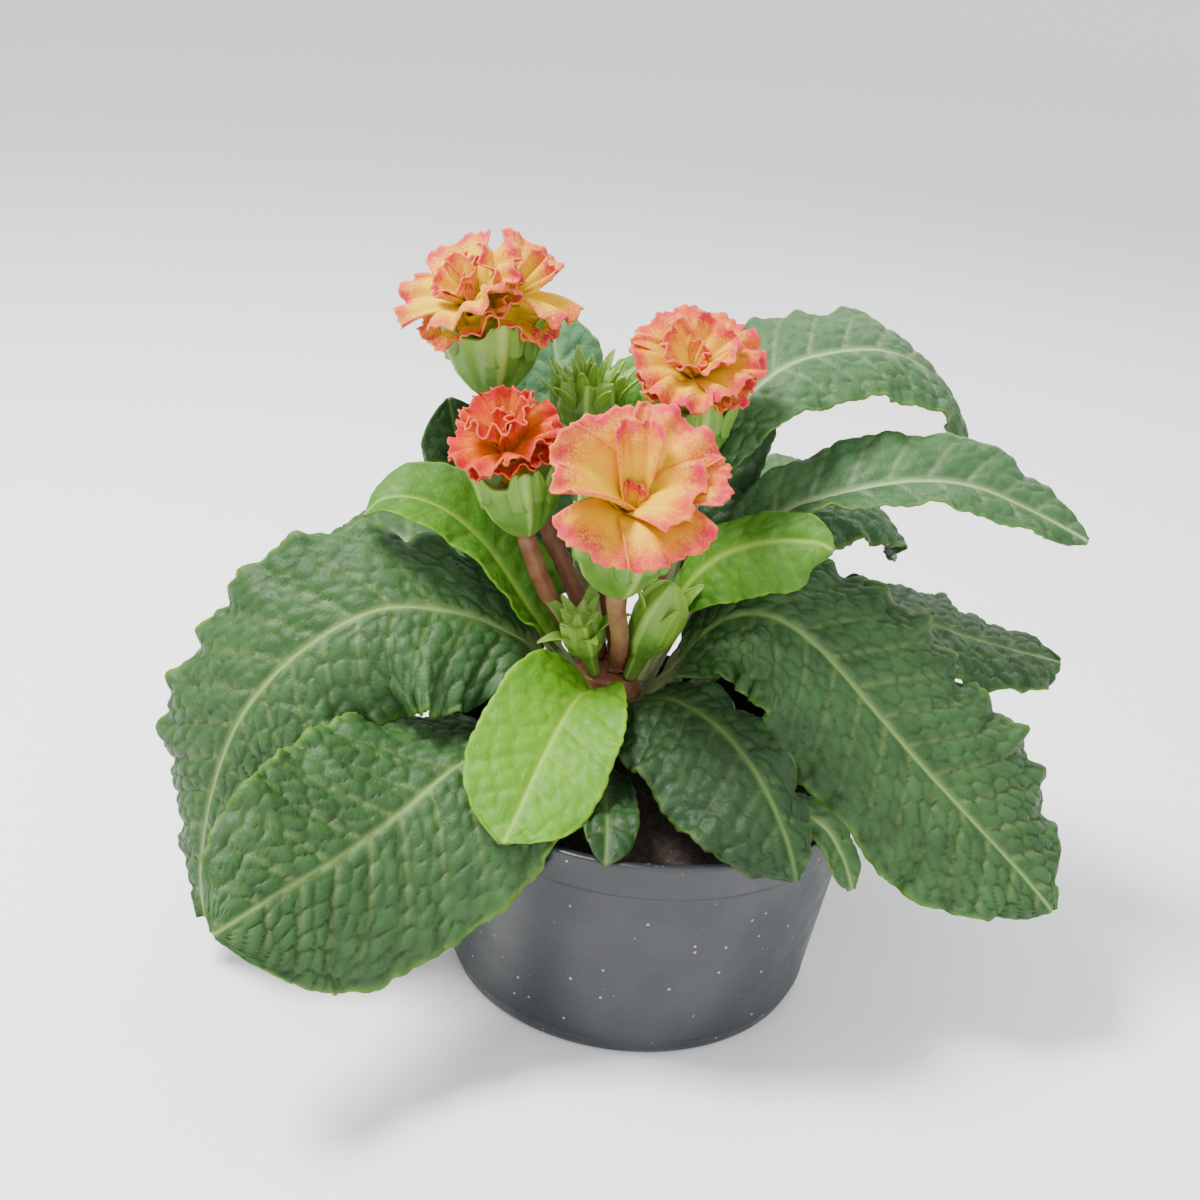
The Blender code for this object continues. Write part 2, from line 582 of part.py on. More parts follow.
def fuse(core, pieces):
    """Joins a collection's solids to core, removes them, and keeps the one outer body of the result."""
    union = core.modifiers.new("petals", "BOOLEAN")
    union.operation = "UNION"
    union.operand_type = "COLLECTION"
    union.collection = pieces
    union.solver = "MANIFOLD"
    applied(core)
    for piece in list(pieces.objects):
        bpy.data.objects.remove(piece, do_unlink=True)
    bpy.data.collections.remove(pieces)
    keep_largest_body(core)


def keep_largest_body(obj):
    """Drops loose scraps and the skins of sealed hollows, which are bodies apart from the largest one."""
    shape = bmesh.new()
    shape.from_mesh(obj.data)
    bmesh.ops.triangulate(shape, faces=shape.faces)
    unseen, bodies = set(shape.verts), []
    while unseen:
        body, edge_of_body = set(), [next(iter(unseen))]
        while edge_of_body:
            vert = edge_of_body.pop()
            if vert in body:
                continue
            body.add(vert)
            edge_of_body.extend(edge.other_vert(vert) for edge in vert.link_edges)
        unseen -= body
        bodies.append(body)
    largest = max(bodies, key=lambda body: sum(face.calc_area() for vert in body for face in vert.link_faces))
    loose = [vert for body in bodies if body is not largest for vert in body]
    bmesh.ops.delete(shape, geom=loose, context="VERTS")
    shape.to_mesh(obj.data)
    shape.free()


def tube(name, points, radius):
    """A round stalk along a smooth curve through the points, with closed ends."""
    line, _ = smooth_curve(points, np.linspace(0, 1, 9))
    curve = bpy.data.curves.new(name, "CURVE")
    curve.dimensions = "3D"
    curve.bevel_depth = radius * MM
    curve.bevel_resolution = 3
    curve.use_fill_caps = True
    spline = curve.splines.new("POLY")
    spline.points.add(len(line) - 1)
    for point, place in zip(spline.points, line):
        point.co = (*(place * MM), 1.0)
    return bpy.data.objects.new(name, curve)


def make_stalk(name, flower):
    """A stalk from its place on the crown's top to just under the calyx."""
    (dx, dy), middle = flower["stalk"]
    axis, _, _ = frame_of(flower["foot"], flower["aim"])
    foot = np.array([CROWN_CENTRE[0] + dx, CROWN_CENTRE[1] + dy, CROWN_TOP + STALK_GAP])
    end = np.asarray(flower["foot"], float) - axis * STALK_GAP
    points = [foot, foot + np.array([0, 0, 3.0]), np.asarray(middle, float), end - axis * 3.0, end]
    return tube(name, points, FLOWER_STALK_RADIUS)


def make_pot(parts, cutters, finish):
    inner_base, inner_top = POT_BASE_RADIUS - POT_WALL, POT_WALL_TOP_RADIUS - POT_WALL
    profile = [
        (0.0, POT_WALL + POT_FOOT),
        (inner_base - 3.0, POT_WALL + POT_FOOT),
        (inner_base, POT_WALL + POT_FOOT + 3.0),
        (inner_top, POT_HEIGHT - POT_BAND_DROP),
        (POT_RIM_RADIUS - POT_RIM_WIDTH, POT_HEIGHT - 2.4),
        (POT_RIM_RADIUS - POT_RIM_WIDTH + 0.6, POT_HEIGHT - 0.8),
        (POT_RIM_RADIUS - 0.8, POT_HEIGHT),
        (POT_RIM_RADIUS, POT_HEIGHT - 0.9),
        (POT_BAND_RADIUS, POT_HEIGHT - POT_BAND_DROP),
        (POT_WALL_TOP_RADIUS, POT_HEIGHT - POT_BAND_DROP - 0.8),
        (POT_BASE_RADIUS + 0.7, 5.0),
        (POT_BASE_RADIUS, 2.5),
        (POT_BASE_RADIUS - 1.8, 0.0),
        (0.0, 0.0),
    ]
    pot = link(turned("pot", profile, 32), parts, finish)
    for i in range(DRAIN_HOLES):
        a = 2 * math.pi * (i + 0.5) / DRAIN_HOLES
        centre = (DRAIN_CIRCLE_RADIUS * math.cos(a), DRAIN_CIRCLE_RADIUS * math.sin(a))
        cut(pot, cylinder(f"drain hole {i}", centre, DRAIN_HOLE_RADIUS, -2, 6, 12), cutters)
    applied(pot)
    return pot


def make_soil(parts, cutters, finish):
    """The soil fills the pot up to just below the rim and mounds up round the crown."""
    inner_base, inner_top = POT_BASE_RADIUS - POT_WALL - SEAT_GAP, POT_WALL_TOP_RADIUS - POT_WALL - SEAT_GAP
    floor = POT_WALL + POT_FOOT + SEAT_GAP
    slope = (inner_top - inner_base) / (POT_HEIGHT - POT_BAND_DROP - floor - 3.0)
    top_radius = inner_base + slope * (SOIL_TOP - 3 - floor - 3.0)
    profile = [
        (0.0, SOIL_TOP + SOIL_MOUND),
        (12.0, SOIL_TOP + SOIL_MOUND),
        (24.0, SOIL_TOP + 0.6 * SOIL_MOUND),
        (40.0, SOIL_TOP),
        (52.0, SOIL_TOP - 1.6),
        (top_radius, SOIL_TOP - 3),
        (inner_base, floor + 3.0),
        (inner_base - 3.0, floor),
        (0.0, floor),
    ]
    soil = link(turned("potting_soil", profile, 24), parts, finish)
    hole = cylinder("crown hole", CROWN_CENTRE, CROWN_RADIUS + SEAT_GAP, CROWN_BOTTOM - SEAT_GAP, 90, 24)
    cut(soil, hole, cutters)
    applied(soil)
    return soil


def make_crown(parts, finish):
    """The short upright rootstock in the soil, with a flat top where the flower stalks stand."""
    profile = [
        (0.0, CROWN_TOP),
        (CROWN_RADIUS - 0.2, CROWN_TOP),
        (CROWN_RADIUS, CROWN_TOP - 0.8),
        (CROWN_RADIUS, CROWN_BOTTOM + 1),
        (CROWN_RADIUS - 1, CROWN_BOTTOM),
        (0.0, CROWN_BOTTOM),
    ]
    crown = link(turned("crown", profile, 24, CROWN_CENTRE), parts, finish)
    applied(crown)
    return crown


def root_cutter(name):
    """The crown with the seat gap round it: what it takes off a leaf is the part inside the crown."""
    radius = CROWN_RADIUS + SEAT_GAP
    return cylinder(name + " root", CROWN_CENTRE, radius, CROWN_BOTTOM, CROWN_TOP + SEAT_GAP, 24)


def make_bud(name, bud):
    """A closed bud: a plump green body with a crown of pointed sepal tips."""
    length, radius = bud["size"]
    count, tip = bud["tips"]
    neck = bud["neck"]
    sections = [
        (0.0, 0.30 * radius, count, 0.0, 0.0),
        (neck * length, 0.42 * radius, count, 0.0, 0.0),
        ((0.75 * neck + 0.25) * length, 0.86 * radius, count, 0.05, 0.0),
        ((0.5 * neck + 0.5) * length, radius, count, 0.08, 0.1 * tip),
        (0.90 * length, 0.80 * radius, count, 0.24, 0.5 * tip),
        (0.84 * length, 0.40 * radius, count, 0.10, 0.1 * tip),
        (0.94 * length, 0.14 * radius, count, 0.0, 0.0),
    ]
    return lobed_body(name, bud["foot"], bud["aim"], sections, 4 * count)


def main():
    clear_scene()
    parts = new_collection("potted primrose")
    cutters = new_collection("cutters")
    hidden = new_collection("petals before they are joined")
    plastic = material("black plastic", PLASTIC)
    soil = material("soil", SOIL)
    crown = material("crown", CROWN)
    dark, bright = material("leaf green", LEAF_GREEN), material("young leaf green", BRIGHT_GREEN)
    calyx_green, orange = material("calyx green", CALYX_GREEN), material("petal orange", PETAL_ORANGE)
    make_pot(parts, cutters, plastic)
    make_soil(parts, cutters, soil)
    make_crown(parts, crown)
    for name, leaf in LEAVES.items():
        young = "bright" in name or "young" in name
        blade = link(make_leaf(name, leaf), parts, bright if young else dark)
        cut(blade, root_cutter(name), cutters)
        applied(blade)
        keep_largest_body(blade)
    for name, flower in FLOWERS.items():
        link(make_stalk("stalk_" + name, flower), parts, crown)
        link(make_calyx("calyx_" + name, flower), parts, calyx_green)
        link(make_corolla("petals_" + name, flower, hidden), parts, orange)
    for name, bud in BUDS.items():
        link(make_bud(name, bud), parts, calyx_green)
        if bud["stalk"]:
            link(make_stalk("stalk_" + name, bud), parts, crown)


main()
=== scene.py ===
"""The potted double primrose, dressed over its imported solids.

Leaves, petals, calyces, buds, stalks, pot and soil follow the solids' own rules, with finer relief.
Sizes are millimetres times MM.
"""

import math

import bpy
import numpy as np
from mathutils import Matrix, Vector


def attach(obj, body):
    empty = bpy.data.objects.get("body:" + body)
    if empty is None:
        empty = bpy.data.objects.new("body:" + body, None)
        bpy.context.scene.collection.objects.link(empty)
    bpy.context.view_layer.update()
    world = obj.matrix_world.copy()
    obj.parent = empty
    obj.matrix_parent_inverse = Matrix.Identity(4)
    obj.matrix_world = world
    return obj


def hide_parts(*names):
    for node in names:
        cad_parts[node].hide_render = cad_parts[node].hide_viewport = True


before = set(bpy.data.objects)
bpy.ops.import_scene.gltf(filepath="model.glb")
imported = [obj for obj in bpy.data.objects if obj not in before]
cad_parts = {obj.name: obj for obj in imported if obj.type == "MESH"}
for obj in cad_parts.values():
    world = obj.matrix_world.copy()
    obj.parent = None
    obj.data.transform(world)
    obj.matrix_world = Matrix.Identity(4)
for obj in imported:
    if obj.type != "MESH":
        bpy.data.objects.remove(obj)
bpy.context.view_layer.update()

MM = 0.001
SEAT_GAP = 0.35

# Pot
POT_HEIGHT = 66.0
POT_RIM_RADIUS = 61.0
POT_BAND_RADIUS = 60.4
POT_WALL_TOP_RADIUS = 59.2
POT_BASE_RADIUS = 51.5
POT_BAND_DROP = 9.5
POT_WALL = 1.6
POT_RIM_WIDTH = 4.2
POT_FOOT = 1.5

# The rim's rounded edge, as distances in from it and down, and the ring low on the wall, as
# distances out from the base's radius and heights
RIM_EDGE = ((1.2, 0.05), (0.6, 0.0), (0.1, 0.4), (0.0, 0.9), (0.1, 1.6))
LOWER_RING = ((0.8, 5.4), (0.9, 4.9), (0.4, 4.4), (0.0, 2.5), (-0.7, 0.8), (-1.8, 0.0))

# Soil and crown
SOIL_TOP = 59.0
SOIL_MOUND = 4.0
CRUMB_SIZE = 2.2
CRUMB_SEED = 5
CROWN_CENTRE = (-13.0, 8.0)
CROWN_RADIUS = 10.0
CROWN_TOP = 86.0
CROWN_BOTTOM = 32.0

# Blades
BLADE_THICKNESS = 0.55
STALK_THICKNESS = 3.0
STALK_HALF_WIDTH = 2.1
PETAL_THICKNESS = 0.4
BROADEST = (0.55, 0.55)
FOOT_FULLNESS = 0.7
TIP_ROUNDNESS = 2.3
RIB = 1.0
CALYX_FLOOR = 0.78
CALYX_LOBES = 5

# Steps of a smooth curve between two of its points
CURVE_STEPS = 24

# Leaves, from the crown's axis: azimuth in degrees (0 is +X, 270 is the viewer), the midrib as
# (reach, height) pairs, the half width to the left and right seen from the crown outwards, where
# along the blade each half is broadest (BROADEST unless given), and the share of the length that
# is bare stalk. Roll lifts the left edge, fold is the V of the halves at the midrib and curl their
# further bend to the margin: each is a list of degrees from foot to tip. Ruffle, waves and phase
# give the height, number and start of the margin's waves, and drift bends the tip to the left.
LEAVES = {
    "leaf_left_big": dict(
        azimuth=200, width=(21, 30), broad=(0.26, 0.5), stalk=0.08,
        path=[(9, 78), (17, 86), (27, 96), (45, 105), (66, 107),
              (86, 96), (101, 78), (109, 55), (112, 32), (111, 16)],
        roll=[-10, -34, -42, -34, -20], fold=[14, 4], curl=[-8, -24], ruffle=2.6, waves=3.5, phase=0.4,
    ),
    "leaf_left_low": dict(
        azimuth=231, width=(35, 30), broad=(0.38, 0.45), stalk=0.1,
        path=[(9, 64), (20, 69), (36, 74), (56, 76), (76, 70), (96, 65), (114, 63), (134, 60)],
        roll=[0, 0, -12, -46, -54, -48], fold=[4, 2], curl=[-4, -14], ruffle=1.6, waves=3.0, phase=1.4,
    ),
    "leaf_front_bright": dict(
        azimuth=252, width=(18, 19), broad=(0.5, 0.42), stalk=0.03,
        path=[(9, 80), (17, 86), (27, 87), (39, 84), (51, 79), (62, 73), (71, 68)],
        roll=[-6, -14, -14], fold=[26, 4], curl=[12, -10], ruffle=0.8, waves=2.0, phase=0.0,
    ),
    "leaf_front_under": dict(
        azimuth=273, width=(8, 6), stalk=0.3,
        path=[(9, 64.5), (22, 68), (38, 71), (52, 72), (62, 71), (70, 66)],
        roll=[0, 0], fold=[6, 2], curl=[0, -4], ruffle=1.0, waves=2.5, phase=2.0,
    ),
    "leaf_front_right": dict(
        azimuth=309, width=(10, 25), broad=(0.45, 0.45), stalk=0.05,
        path=[(9, 76), (18, 84), (30, 89), (48, 89.5), (64, 83.5), (76, 73), (82, 63)],
        roll=[16, 20, 22, 12], fold=[6, 2], curl=[-6, -14], ruffle=2.0, waves=3.0, phase=0.9,
    ),
    "leaf_right_tiny": dict(
        azimuth=321, width=(6, 6), broad=(0.6, 0.6), stalk=0.4,
        path=[(9, 66), (34, 68.8), (58, 70.4), (74, 70.4), (82, 65), (87, 56)],
        roll=[0, 10], fold=[6, 4], curl=[-6, -10], ruffle=0.8, waves=2.0, phase=0.3,
    ),
    "leaf_right_big": dict(
        azimuth=344, width=(34, 29), broad=(0.58, 0.5), stalk=0.08,
        path=[(9, 75), (18, 88), (29, 105), (42, 111), (56, 106),
              (72, 93), (88, 79), (104, 66), (120, 53), (131, 43)],
        roll=[20, 30, 38, 38], fold=[10, 2], curl=[-8, -18], ruffle=2.8, waves=3.5, phase=2.2,
    ),
    "leaf_right_arch": dict(
        azimuth=2, width=(15, 10), broad=(0.45, 0.45), stalk=0.24,
        path=[(9, 82), (17, 96), (28, 118), (42, 135), (58, 143),
              (76, 148), (92, 148), (108, 143), (126, 135)],
        roll=[0, 10, 30, 34], fold=[40, 26, 8], curl=[4, -16], ruffle=1.0, waves=4.0, phase=1.0,
    ),
    "leaf_right_top": dict(
        azimuth=29, width=(22, 17), stalk=0.34, drift=-16,
        path=[(9, 74), (14, 94), (19, 126), (27, 156), (40, 171),
              (56, 176), (73, 176), (88, 169), (98, 157), (101, 146)],
        roll=[0, 10, 24, 24], fold=[16, 4], curl=[-10, -22], ruffle=1.4, waves=4.0, phase=2.6,
    ),
    "leaf_left_young": dict(
        azimuth=186, width=(13, 14), broad=(0.45, 0.45), stalk=0.1,
        path=[(9, 83), (16, 92), (26, 106), (36, 120), (46, 129), (56, 133), (64, 132), (69, 127)],
        roll=[-20, -34, -26, -10], fold=[30, 12], curl=[16, -10], ruffle=0.6, waves=2.0, phase=0.6,
    ),
    "leaf_left_upright": dict(
        azimuth=158, width=(13, 13), stalk=0.25,
        path=[(9, 74), (18, 88), (32, 108), (44, 126), (51, 141), (55, 153)],
        roll=[-20, -30], fold=[20, 8], curl=[0, -8], ruffle=0.8, waves=2.5, phase=1.8,
    ),
    "leaf_right_bright": dict(
        azimuth=340, width=(9, 14), broad=(0.55, 0.6), stalk=0.28,
        path=[(9, 85), (13, 97), (19, 114), (28, 126), (40, 133), (52, 136), (58, 135)],
        roll=[40, 50, 56], fold=[10, 4], curl=[-6, -18], ruffle=0.7, waves=2.0, phase=0.9,
    ),
    "leaf_right_dark": dict(
        azimuth=52, width=(15, 15), broad=(0.6, 0.6), stalk=0.3,
        path=[(9, 80), (16, 95), (27, 116), (36, 134), (42, 149), (44, 164)],
        roll=[10, 20], fold=[14, 6], curl=[-6, -14], ruffle=1.2, waves=2.5, phase=0.2,
    ),
    "leaf_back_right": dict(
        azimuth=39, width=(24, 24), stalk=0.3,
        path=[(9, 67), (20, 88), (40, 113), (62, 126), (82, 128), (98, 119), (108, 103)],
        roll=[10, 12], fold=[8, 2], curl=[-8, -20], ruffle=1.6, waves=3.0, phase=1.1,
    ),
    "leaf_right_behind": dict(
        azimuth=13, width=(22, 20), stalk=0.3,
        path=[(9, 65), (22, 76), (42, 91), (64, 100), (86, 101), (106, 95), (124, 90), (138, 86)],
        roll=[16, 10], fold=[8, 6], curl=[-8, -18], ruffle=1.6, waves=3.0, phase=0.5,
    ),
    "leaf_behind_flower": dict(
        azimuth=119, width=(16, 16), broad=(0.6, 0.6), stalk=0.35,
        path=[(9, 73), (16, 93), (28, 124), (40, 148), (49, 164), (56, 174)],
        roll=[0, 0], fold=[16, 6], curl=[-6, -12], ruffle=0.8, waves=2.5, phase=0.8,
    ),
    "leaf_behind_bud": dict(
        azimuth=84, width=(13, 13), broad=(0.6, 0.6), stalk=0.35,
        path=[(9, 79), (15, 96), (22, 126), (29, 148), (35, 160), (43, 166)],
        roll=[0, 0], fold=[16, 8], curl=[-6, -14], ruffle=0.8, waves=2.0, phase=2.4,
    ),
    "leaf_left_back": dict(
        azimuth=157, width=(24, 26), stalk=0.26,
        path=[(9, 64), (20, 77), (38, 95), (58, 105), (78, 107), (94, 100), (104, 86)],
        roll=[-10, -10], fold=[10, 4], curl=[-8, -18], ruffle=1.8, waves=3.0, phase=1.5,
    ),
    "leaf_left_grey": dict(
        azimuth=141, width=(14, 14), broad=(0.6, 0.6), stalk=0.3,
        path=[(9, 82), (18, 94), (34, 112), (50, 128), (60, 138), (68, 144)],
        roll=[-14, -14], fold=[14, 6], curl=[-6, -14], ruffle=0.8, waves=2.5, phase=0.1,
    ),
    "leaf_back_one": dict(
        azimuth=65, width=(28, 28), stalk=0.24,
        path=[(9, 70), (22, 80), (44, 94), (68, 98), (90, 90), (106, 72), (112, 52)],
        roll=[4, 8], fold=[10, 2], curl=[-8, -20], ruffle=2.2, waves=3.5, phase=0.7,
    ),
    "leaf_back_two": dict(
        azimuth=100, width=(28, 30), stalk=0.22,
        path=[(9, 66), (16, 78), (26, 96), (44, 109), (66, 112), (88, 101), (102, 82), (108, 60)],
        roll=[0, -6], fold=[10, 2], curl=[-8, -20], ruffle=2.4, waves=3.5, phase=1.9,
    ),
    "leaf_back_three": dict(
        azimuth=133, width=(24, 25), stalk=0.24,
        path=[(9, 65), (24, 70), (46, 76), (68, 75), (88, 66), (102, 50)],
        roll=[-6, -10], fold=[8, 2], curl=[-8, -18], ruffle=2.0, waves=3.0, phase=2.9,
    ),
}

# Flowers: where the green calyx starts and which way it points (both places), its length and widest
# radius, the stalk's foot on the crown's top (from the crown's axis) and a place on its way, and the
# heads of petals: where a head sits, the way it faces, and its whorls of petals, each (count, clock
# angle of the first, opening at the foot, opening at the end, length, width, cup at the foot, cup at
# the end, ruffle), with the clock angle read on the flower's face.
FLOWERS = {
    "front": dict(
        foot=(-13, -17, 120), aim=(-12, -22, 144), calyx=(23, 14.0), stalk=[(2.2, -5.2), (-10.8, -9, 103)],
        heads=[
            dict(seat=(-11.5, -21.5, 143), face=(0.03, -0.58, 0.81), whorls=[
                (1, 326, 14, 84, 29, 28, 50, -8, 1.3),
                (1, 356, 6, 60, 26, 18, 90, 70, 0.8),
                (1, 32, 14, 84, 30, 29, 50, -8, 1.3),
                (1, 84, 20, 94, 32, 18, 40, 20, 1.0),
                (1, 110, 12, 78, 27, 26, 60, 10, 1.2),
                (1, 146, 20, 108, 29, 28, 50, -14, 1.3),
                (1, 208, 22, 110, 26, 26, 50, -10, 1.2),
                (1, 262, 16, 82, 30, 30, 90, 66, 0.8),
                (1, 300, 20, 84, 30, 24, 50, 20, 1.4),
                (1, 20, 2, 16, 13, 8, 60, 40, 0.4),
            ]),
        ],
    ),
    "left": dict(
        foot=(-38, -3, 128), aim=(-43, -4, 150), calyx=(20, 11.5), stalk=[(-6.4, 0.2), (-31, 3, 108)],
        heads=[
            dict(seat=(-43, -4.5, 148), face=(-0.25, -0.32, 0.91), whorls=[
                (5, 0, 24, 92, 18, 20, 60, 0, 1.5),
                (4, 30, 12, 46, 19, 17, 80, 40, 1.6),
                (1, 70, 4, 16, 15, 13, 90, 60, 1.0),
            ]),
        ],
    ),
    "top": dict(
        foot=(-51, 20, 158), aim=(-53, 19, 184), calyx=(22, 13.6), stalk=[(-3.8, 5.0), (-31, 16, 118)],
        heads=[
            dict(seat=(-55.5, 16, 181), face=(-0.5, -0.46, 0.74), whorls=[
                (4, 10, 22, 92, 22, 23, 60, 0, 1.5),
                (3, 50, 8, 40, 16, 16, 80, 50, 1.0),
            ]),
            dict(seat=(-49.5, 19.5, 182.5), face=(0.5, -0.3, 0.82), whorls=[
                (3, 350, 20, 88, 21, 22, 60, 0, 1.5),
                (1, 40, 6, 30, 17, 14, 80, 50, 1.0),
            ]),
        ],
    ),
    "right": dict(
        foot=(3, 12, 145), aim=(1, 8, 172), calyx=(24, 12.0), stalk=[(4.8, 2.4), (-1, 9, 118)],
        heads=[
            dict(seat=(1, 8, 169.5), face=(0.05, -0.5, 0.86), whorls=[
                (6, 10, 22, 98, 22, 21, 60, -6, 1.5),
                (3, 35, 12, 56, 18, 20, 75, 30, 1.2),
                (1, 80, 4, 20, 13, 12, 90, 60, 0.8),
            ]),
        ],
    ),
}

# Buds: foot and aim as for a flower, length and widest radius, how far up the neck goes, the number
# and length of the sepal tips, and the stalk's foot and a place on its way
BUDS = {
    "bud_cluster": dict(
        foot=(-25, 21, 148), aim=(-26, 20, 170), size=(19, 9.5), neck=0.1, tips=(8, 6.0),
        stalk=[(1.8, 6.0), (-19, 19, 118)],
    ),
    "bud_low_left": dict(
        foot=(-16.8, 1.4, 86.8), aim=(-24, -9, 113), size=(25, 5.8), neck=0.3, tips=(5, 4.0), stalk=None,
    ),
    "bud_low_right": dict(
        foot=(-6.8, 1.2, 86.9), aim=(3, -11, 126), size=(37, 6.8), neck=0.25, tips=(3, 2.0), stalk=None,
    ),
}
FLOWER_STALK_RADIUS = 2.5
STALK_GAP = 0.8
STALK_RINGS = 40
STALK_SIDES = 24


def numbers_of(values):
    return np.asarray(values, float)


def smooth_curve(points, samples):
    """A Catmull-Rom curve through the points, resampled evenly along its length."""
    pts = numbers_of(points)
    ends = np.vstack([2 * pts[0] - pts[1], pts, 2 * pts[-1] - pts[-2]])
    fine = []
    for i in range(1, len(ends) - 2):
        a, b, c, d = ends[i - 1 : i + 3]
        t = np.linspace(0, 1, CURVE_STEPS, endpoint=False)[:, None]
        square = (2 * a - 5 * b + 4 * c - d) * t**2
        cube = (3 * b - a - 3 * c + d) * t**3
        fine.append(0.5 * (2 * b + (c - a) * t + square + cube))
    fine = np.vstack([*fine, pts[-1:]])
    steps = np.concatenate([[0], np.cumsum(np.linalg.norm(np.diff(fine, axis=0), axis=1))])
    wanted = np.asarray(samples) * steps[-1]
    return np.stack([np.interp(wanted, steps, fine[:, k]) for k in range(3)], -1), steps[-1]


def unit(vectors):
    return vectors / np.linalg.norm(vectors, axis=-1, keepdims=True)


def bent(distance, first, bend):
    """How far across and up a strip reaches at a share of its width, turning from angle first by bend."""
    bend = np.where(np.abs(bend) < 1e-4, 1e-4, bend)
    end = first + bend * distance
    return (np.sin(end) - np.sin(first)) / bend, (np.cos(first) - np.cos(end)) / bend


def along_list(values, along):
    return np.radians(np.interp(along, np.linspace(0, 1, len(values)), values))[:, None]


def half_outline(x, width, broad):
    """Half width at each share of the blade: full towards the foot and rounded at the tip."""
    rising = np.sin(math.pi / 2 * np.clip(x / broad, 0, 1) ** FOOT_FULLNESS)
    falling = np.cos(math.pi / 2 * np.clip((x - broad) / (1 - broad), 0, 1) ** TIP_ROUNDNESS) ** 0.8
    return width * np.where(x < broad, rising, falling)


def leaf_surface(leaf, along, across):
    """The leaf's middle surface and its thickness, for arrays along (0 to 1) and across (-1 to 1)."""
    azimuth = math.radians(leaf["azimuth"])
    outward = np.array([math.cos(azimuth), math.sin(azimuth), 0.0])
    left = np.array([-math.sin(azimuth), math.cos(azimuth), 0.0])
    base = np.array([*CROWN_CENTRE, 0.0])
    path = [base + outward * r + np.array([0, 0, z]) for r, z in leaf["path"]]
    line, _ = smooth_curve(path, along)
    line = line + np.outer(leaf.get("drift", 0) * along**2, left)
    ahead = unit(np.gradient(line, axis=0))
    side = unit(left - (ahead @ left)[:, None] * ahead)
    up = np.cross(ahead, side)
    roll = along_list(leaf["roll"], along)
    side, up = side * np.cos(roll) + up * np.sin(roll), up * np.cos(roll) - side * np.sin(roll)
    x = np.clip((along - leaf["stalk"]) / (1 - leaf["stalk"]), 0, 1)
    stalk = STALK_HALF_WIDTH * (1 - 0.6 * x)
    t = np.abs(across)[None, :]
    sides = zip(leaf["width"], leaf.get("broad", BROADEST))
    halves = [np.maximum(half_outline(x, width, broad), stalk)[:, None] for width, broad in sides]
    half = np.where(across[None, :] > 0, halves[0], halves[1])
    sign = np.sign(across)[None, :]
    reach, lift = bent(t, along_list(leaf["fold"], along), 2 * along_list(leaf["curl"], along))
    blade = np.clip(x * 4, 0, 1)[:, None]
    wave = np.sin(2 * math.pi * leaf["waves"] * x[:, None] + leaf["phase"] + 1.7 * sign)
    lift = lift * half + leaf["ruffle"] * blade * wave * t**2
    width = sign * reach * half
    points = line[:, None] + side[:, None] * width[..., None] + up[:, None] * lift[..., None]
    taper = np.clip(1 - along / (leaf["stalk"] + 0.1), 0, 1)[:, None]
    rib = RIB * np.clip(1 - along, 0, 1)[:, None] * (t < 0.1) * (x[:, None] > 0)
    return points, BLADE_THICKNESS + (STALK_THICKNESS - BLADE_THICKNESS) * taper + rib


def frame_of(foot, aim):
    """The axis from foot to aim, with two directions across it: to the viewer's right and up the face."""
    axis = unit(numbers_of(aim) - numbers_of(foot))
    right = unit(np.cross([0.0, 1.0, 0.0], axis)) if abs(axis[1]) < 0.95 else np.array([1.0, 0, 0])
    return axis, right, np.cross(axis, right)


def spoke_of(right, face_up, clock):
    """The direction away from the axis at a clock angle in degrees, and the one across it."""
    clock = math.radians(clock)
    outward = right * math.sin(clock) + face_up * math.cos(clock)
    return outward, right * math.cos(clock) - face_up * math.sin(clock)


def opening(first, last, length, share):
    """Angle, reach and height along a blade that bends evenly from first to last degrees off its axis."""
    a0, a1 = math.radians(first), math.radians(last)
    angle = a0 + (a1 - a0) * share
    reach = length * (np.cos(a0) - np.cos(angle)) / (a1 - a0)
    return angle, reach, length * (np.sin(angle) - np.sin(a0)) / (a1 - a0)


def petal_surface(head, petal, along, across):
    """Points of one petal, from the head's seat outwards: it opens away from the axis to a ruffled fan."""
    clock, first, last, length, width, cup_foot, cup_end, ruffle, phase = petal
    seat = numbers_of(head["seat"])
    axis, right, face_up = frame_of(seat, seat + numbers_of(head["face"]))
    outward, sideways = spoke_of(right, face_up, clock)
    v = across[None, :]
    notch = 0.06 * np.exp(-((v / 0.22) ** 2)) * along[:, None] ** 4
    s = along[:, None] * (1 - 0.16 * v**2 - notch)
    angle, radial, axial = opening(first, last, length, s)
    inner = axis * np.sin(angle)[..., None] - outward * np.cos(angle)[..., None]
    half = width / 2 * (0.16 + 0.84 * np.clip(s, 0, 1) ** 0.8)
    cup = np.radians(cup_foot + (cup_end - cup_foot) * s)
    cup = np.where(np.abs(cup) < 0.02, 0.02, cup)
    over = half * np.sin(cup * v) / cup
    lift = half * (1 - np.cos(cup * v)) / cup + ruffle * s**2 * np.sin(2.6 * math.pi * v + phase)
    points = seat + axis * axial[..., None] + outward * radial[..., None]
    return points + sideways * over[..., None] + inner * lift[..., None]


def petals_of(head):
    """The petals of each whorl, spaced by the whorl's rule with small fixed departures."""
    for number, whorl in enumerate(head["whorls"]):
        count, clock, first, last, length, width, cup_foot, cup_end, ruffle = whorl
        for i in range(count):
            sway = math.sin(2.4 * i + 1.3 * number)
            many = count > 1
            yield (
                clock + 360 * i / count + 6 * sway * many, first + 2 * sway, last + 6 * sway * many,
                length * (1 + 0.05 * sway), width, cup_foot, cup_end, ruffle, 1.3 * i + 2.1 * number,
            )


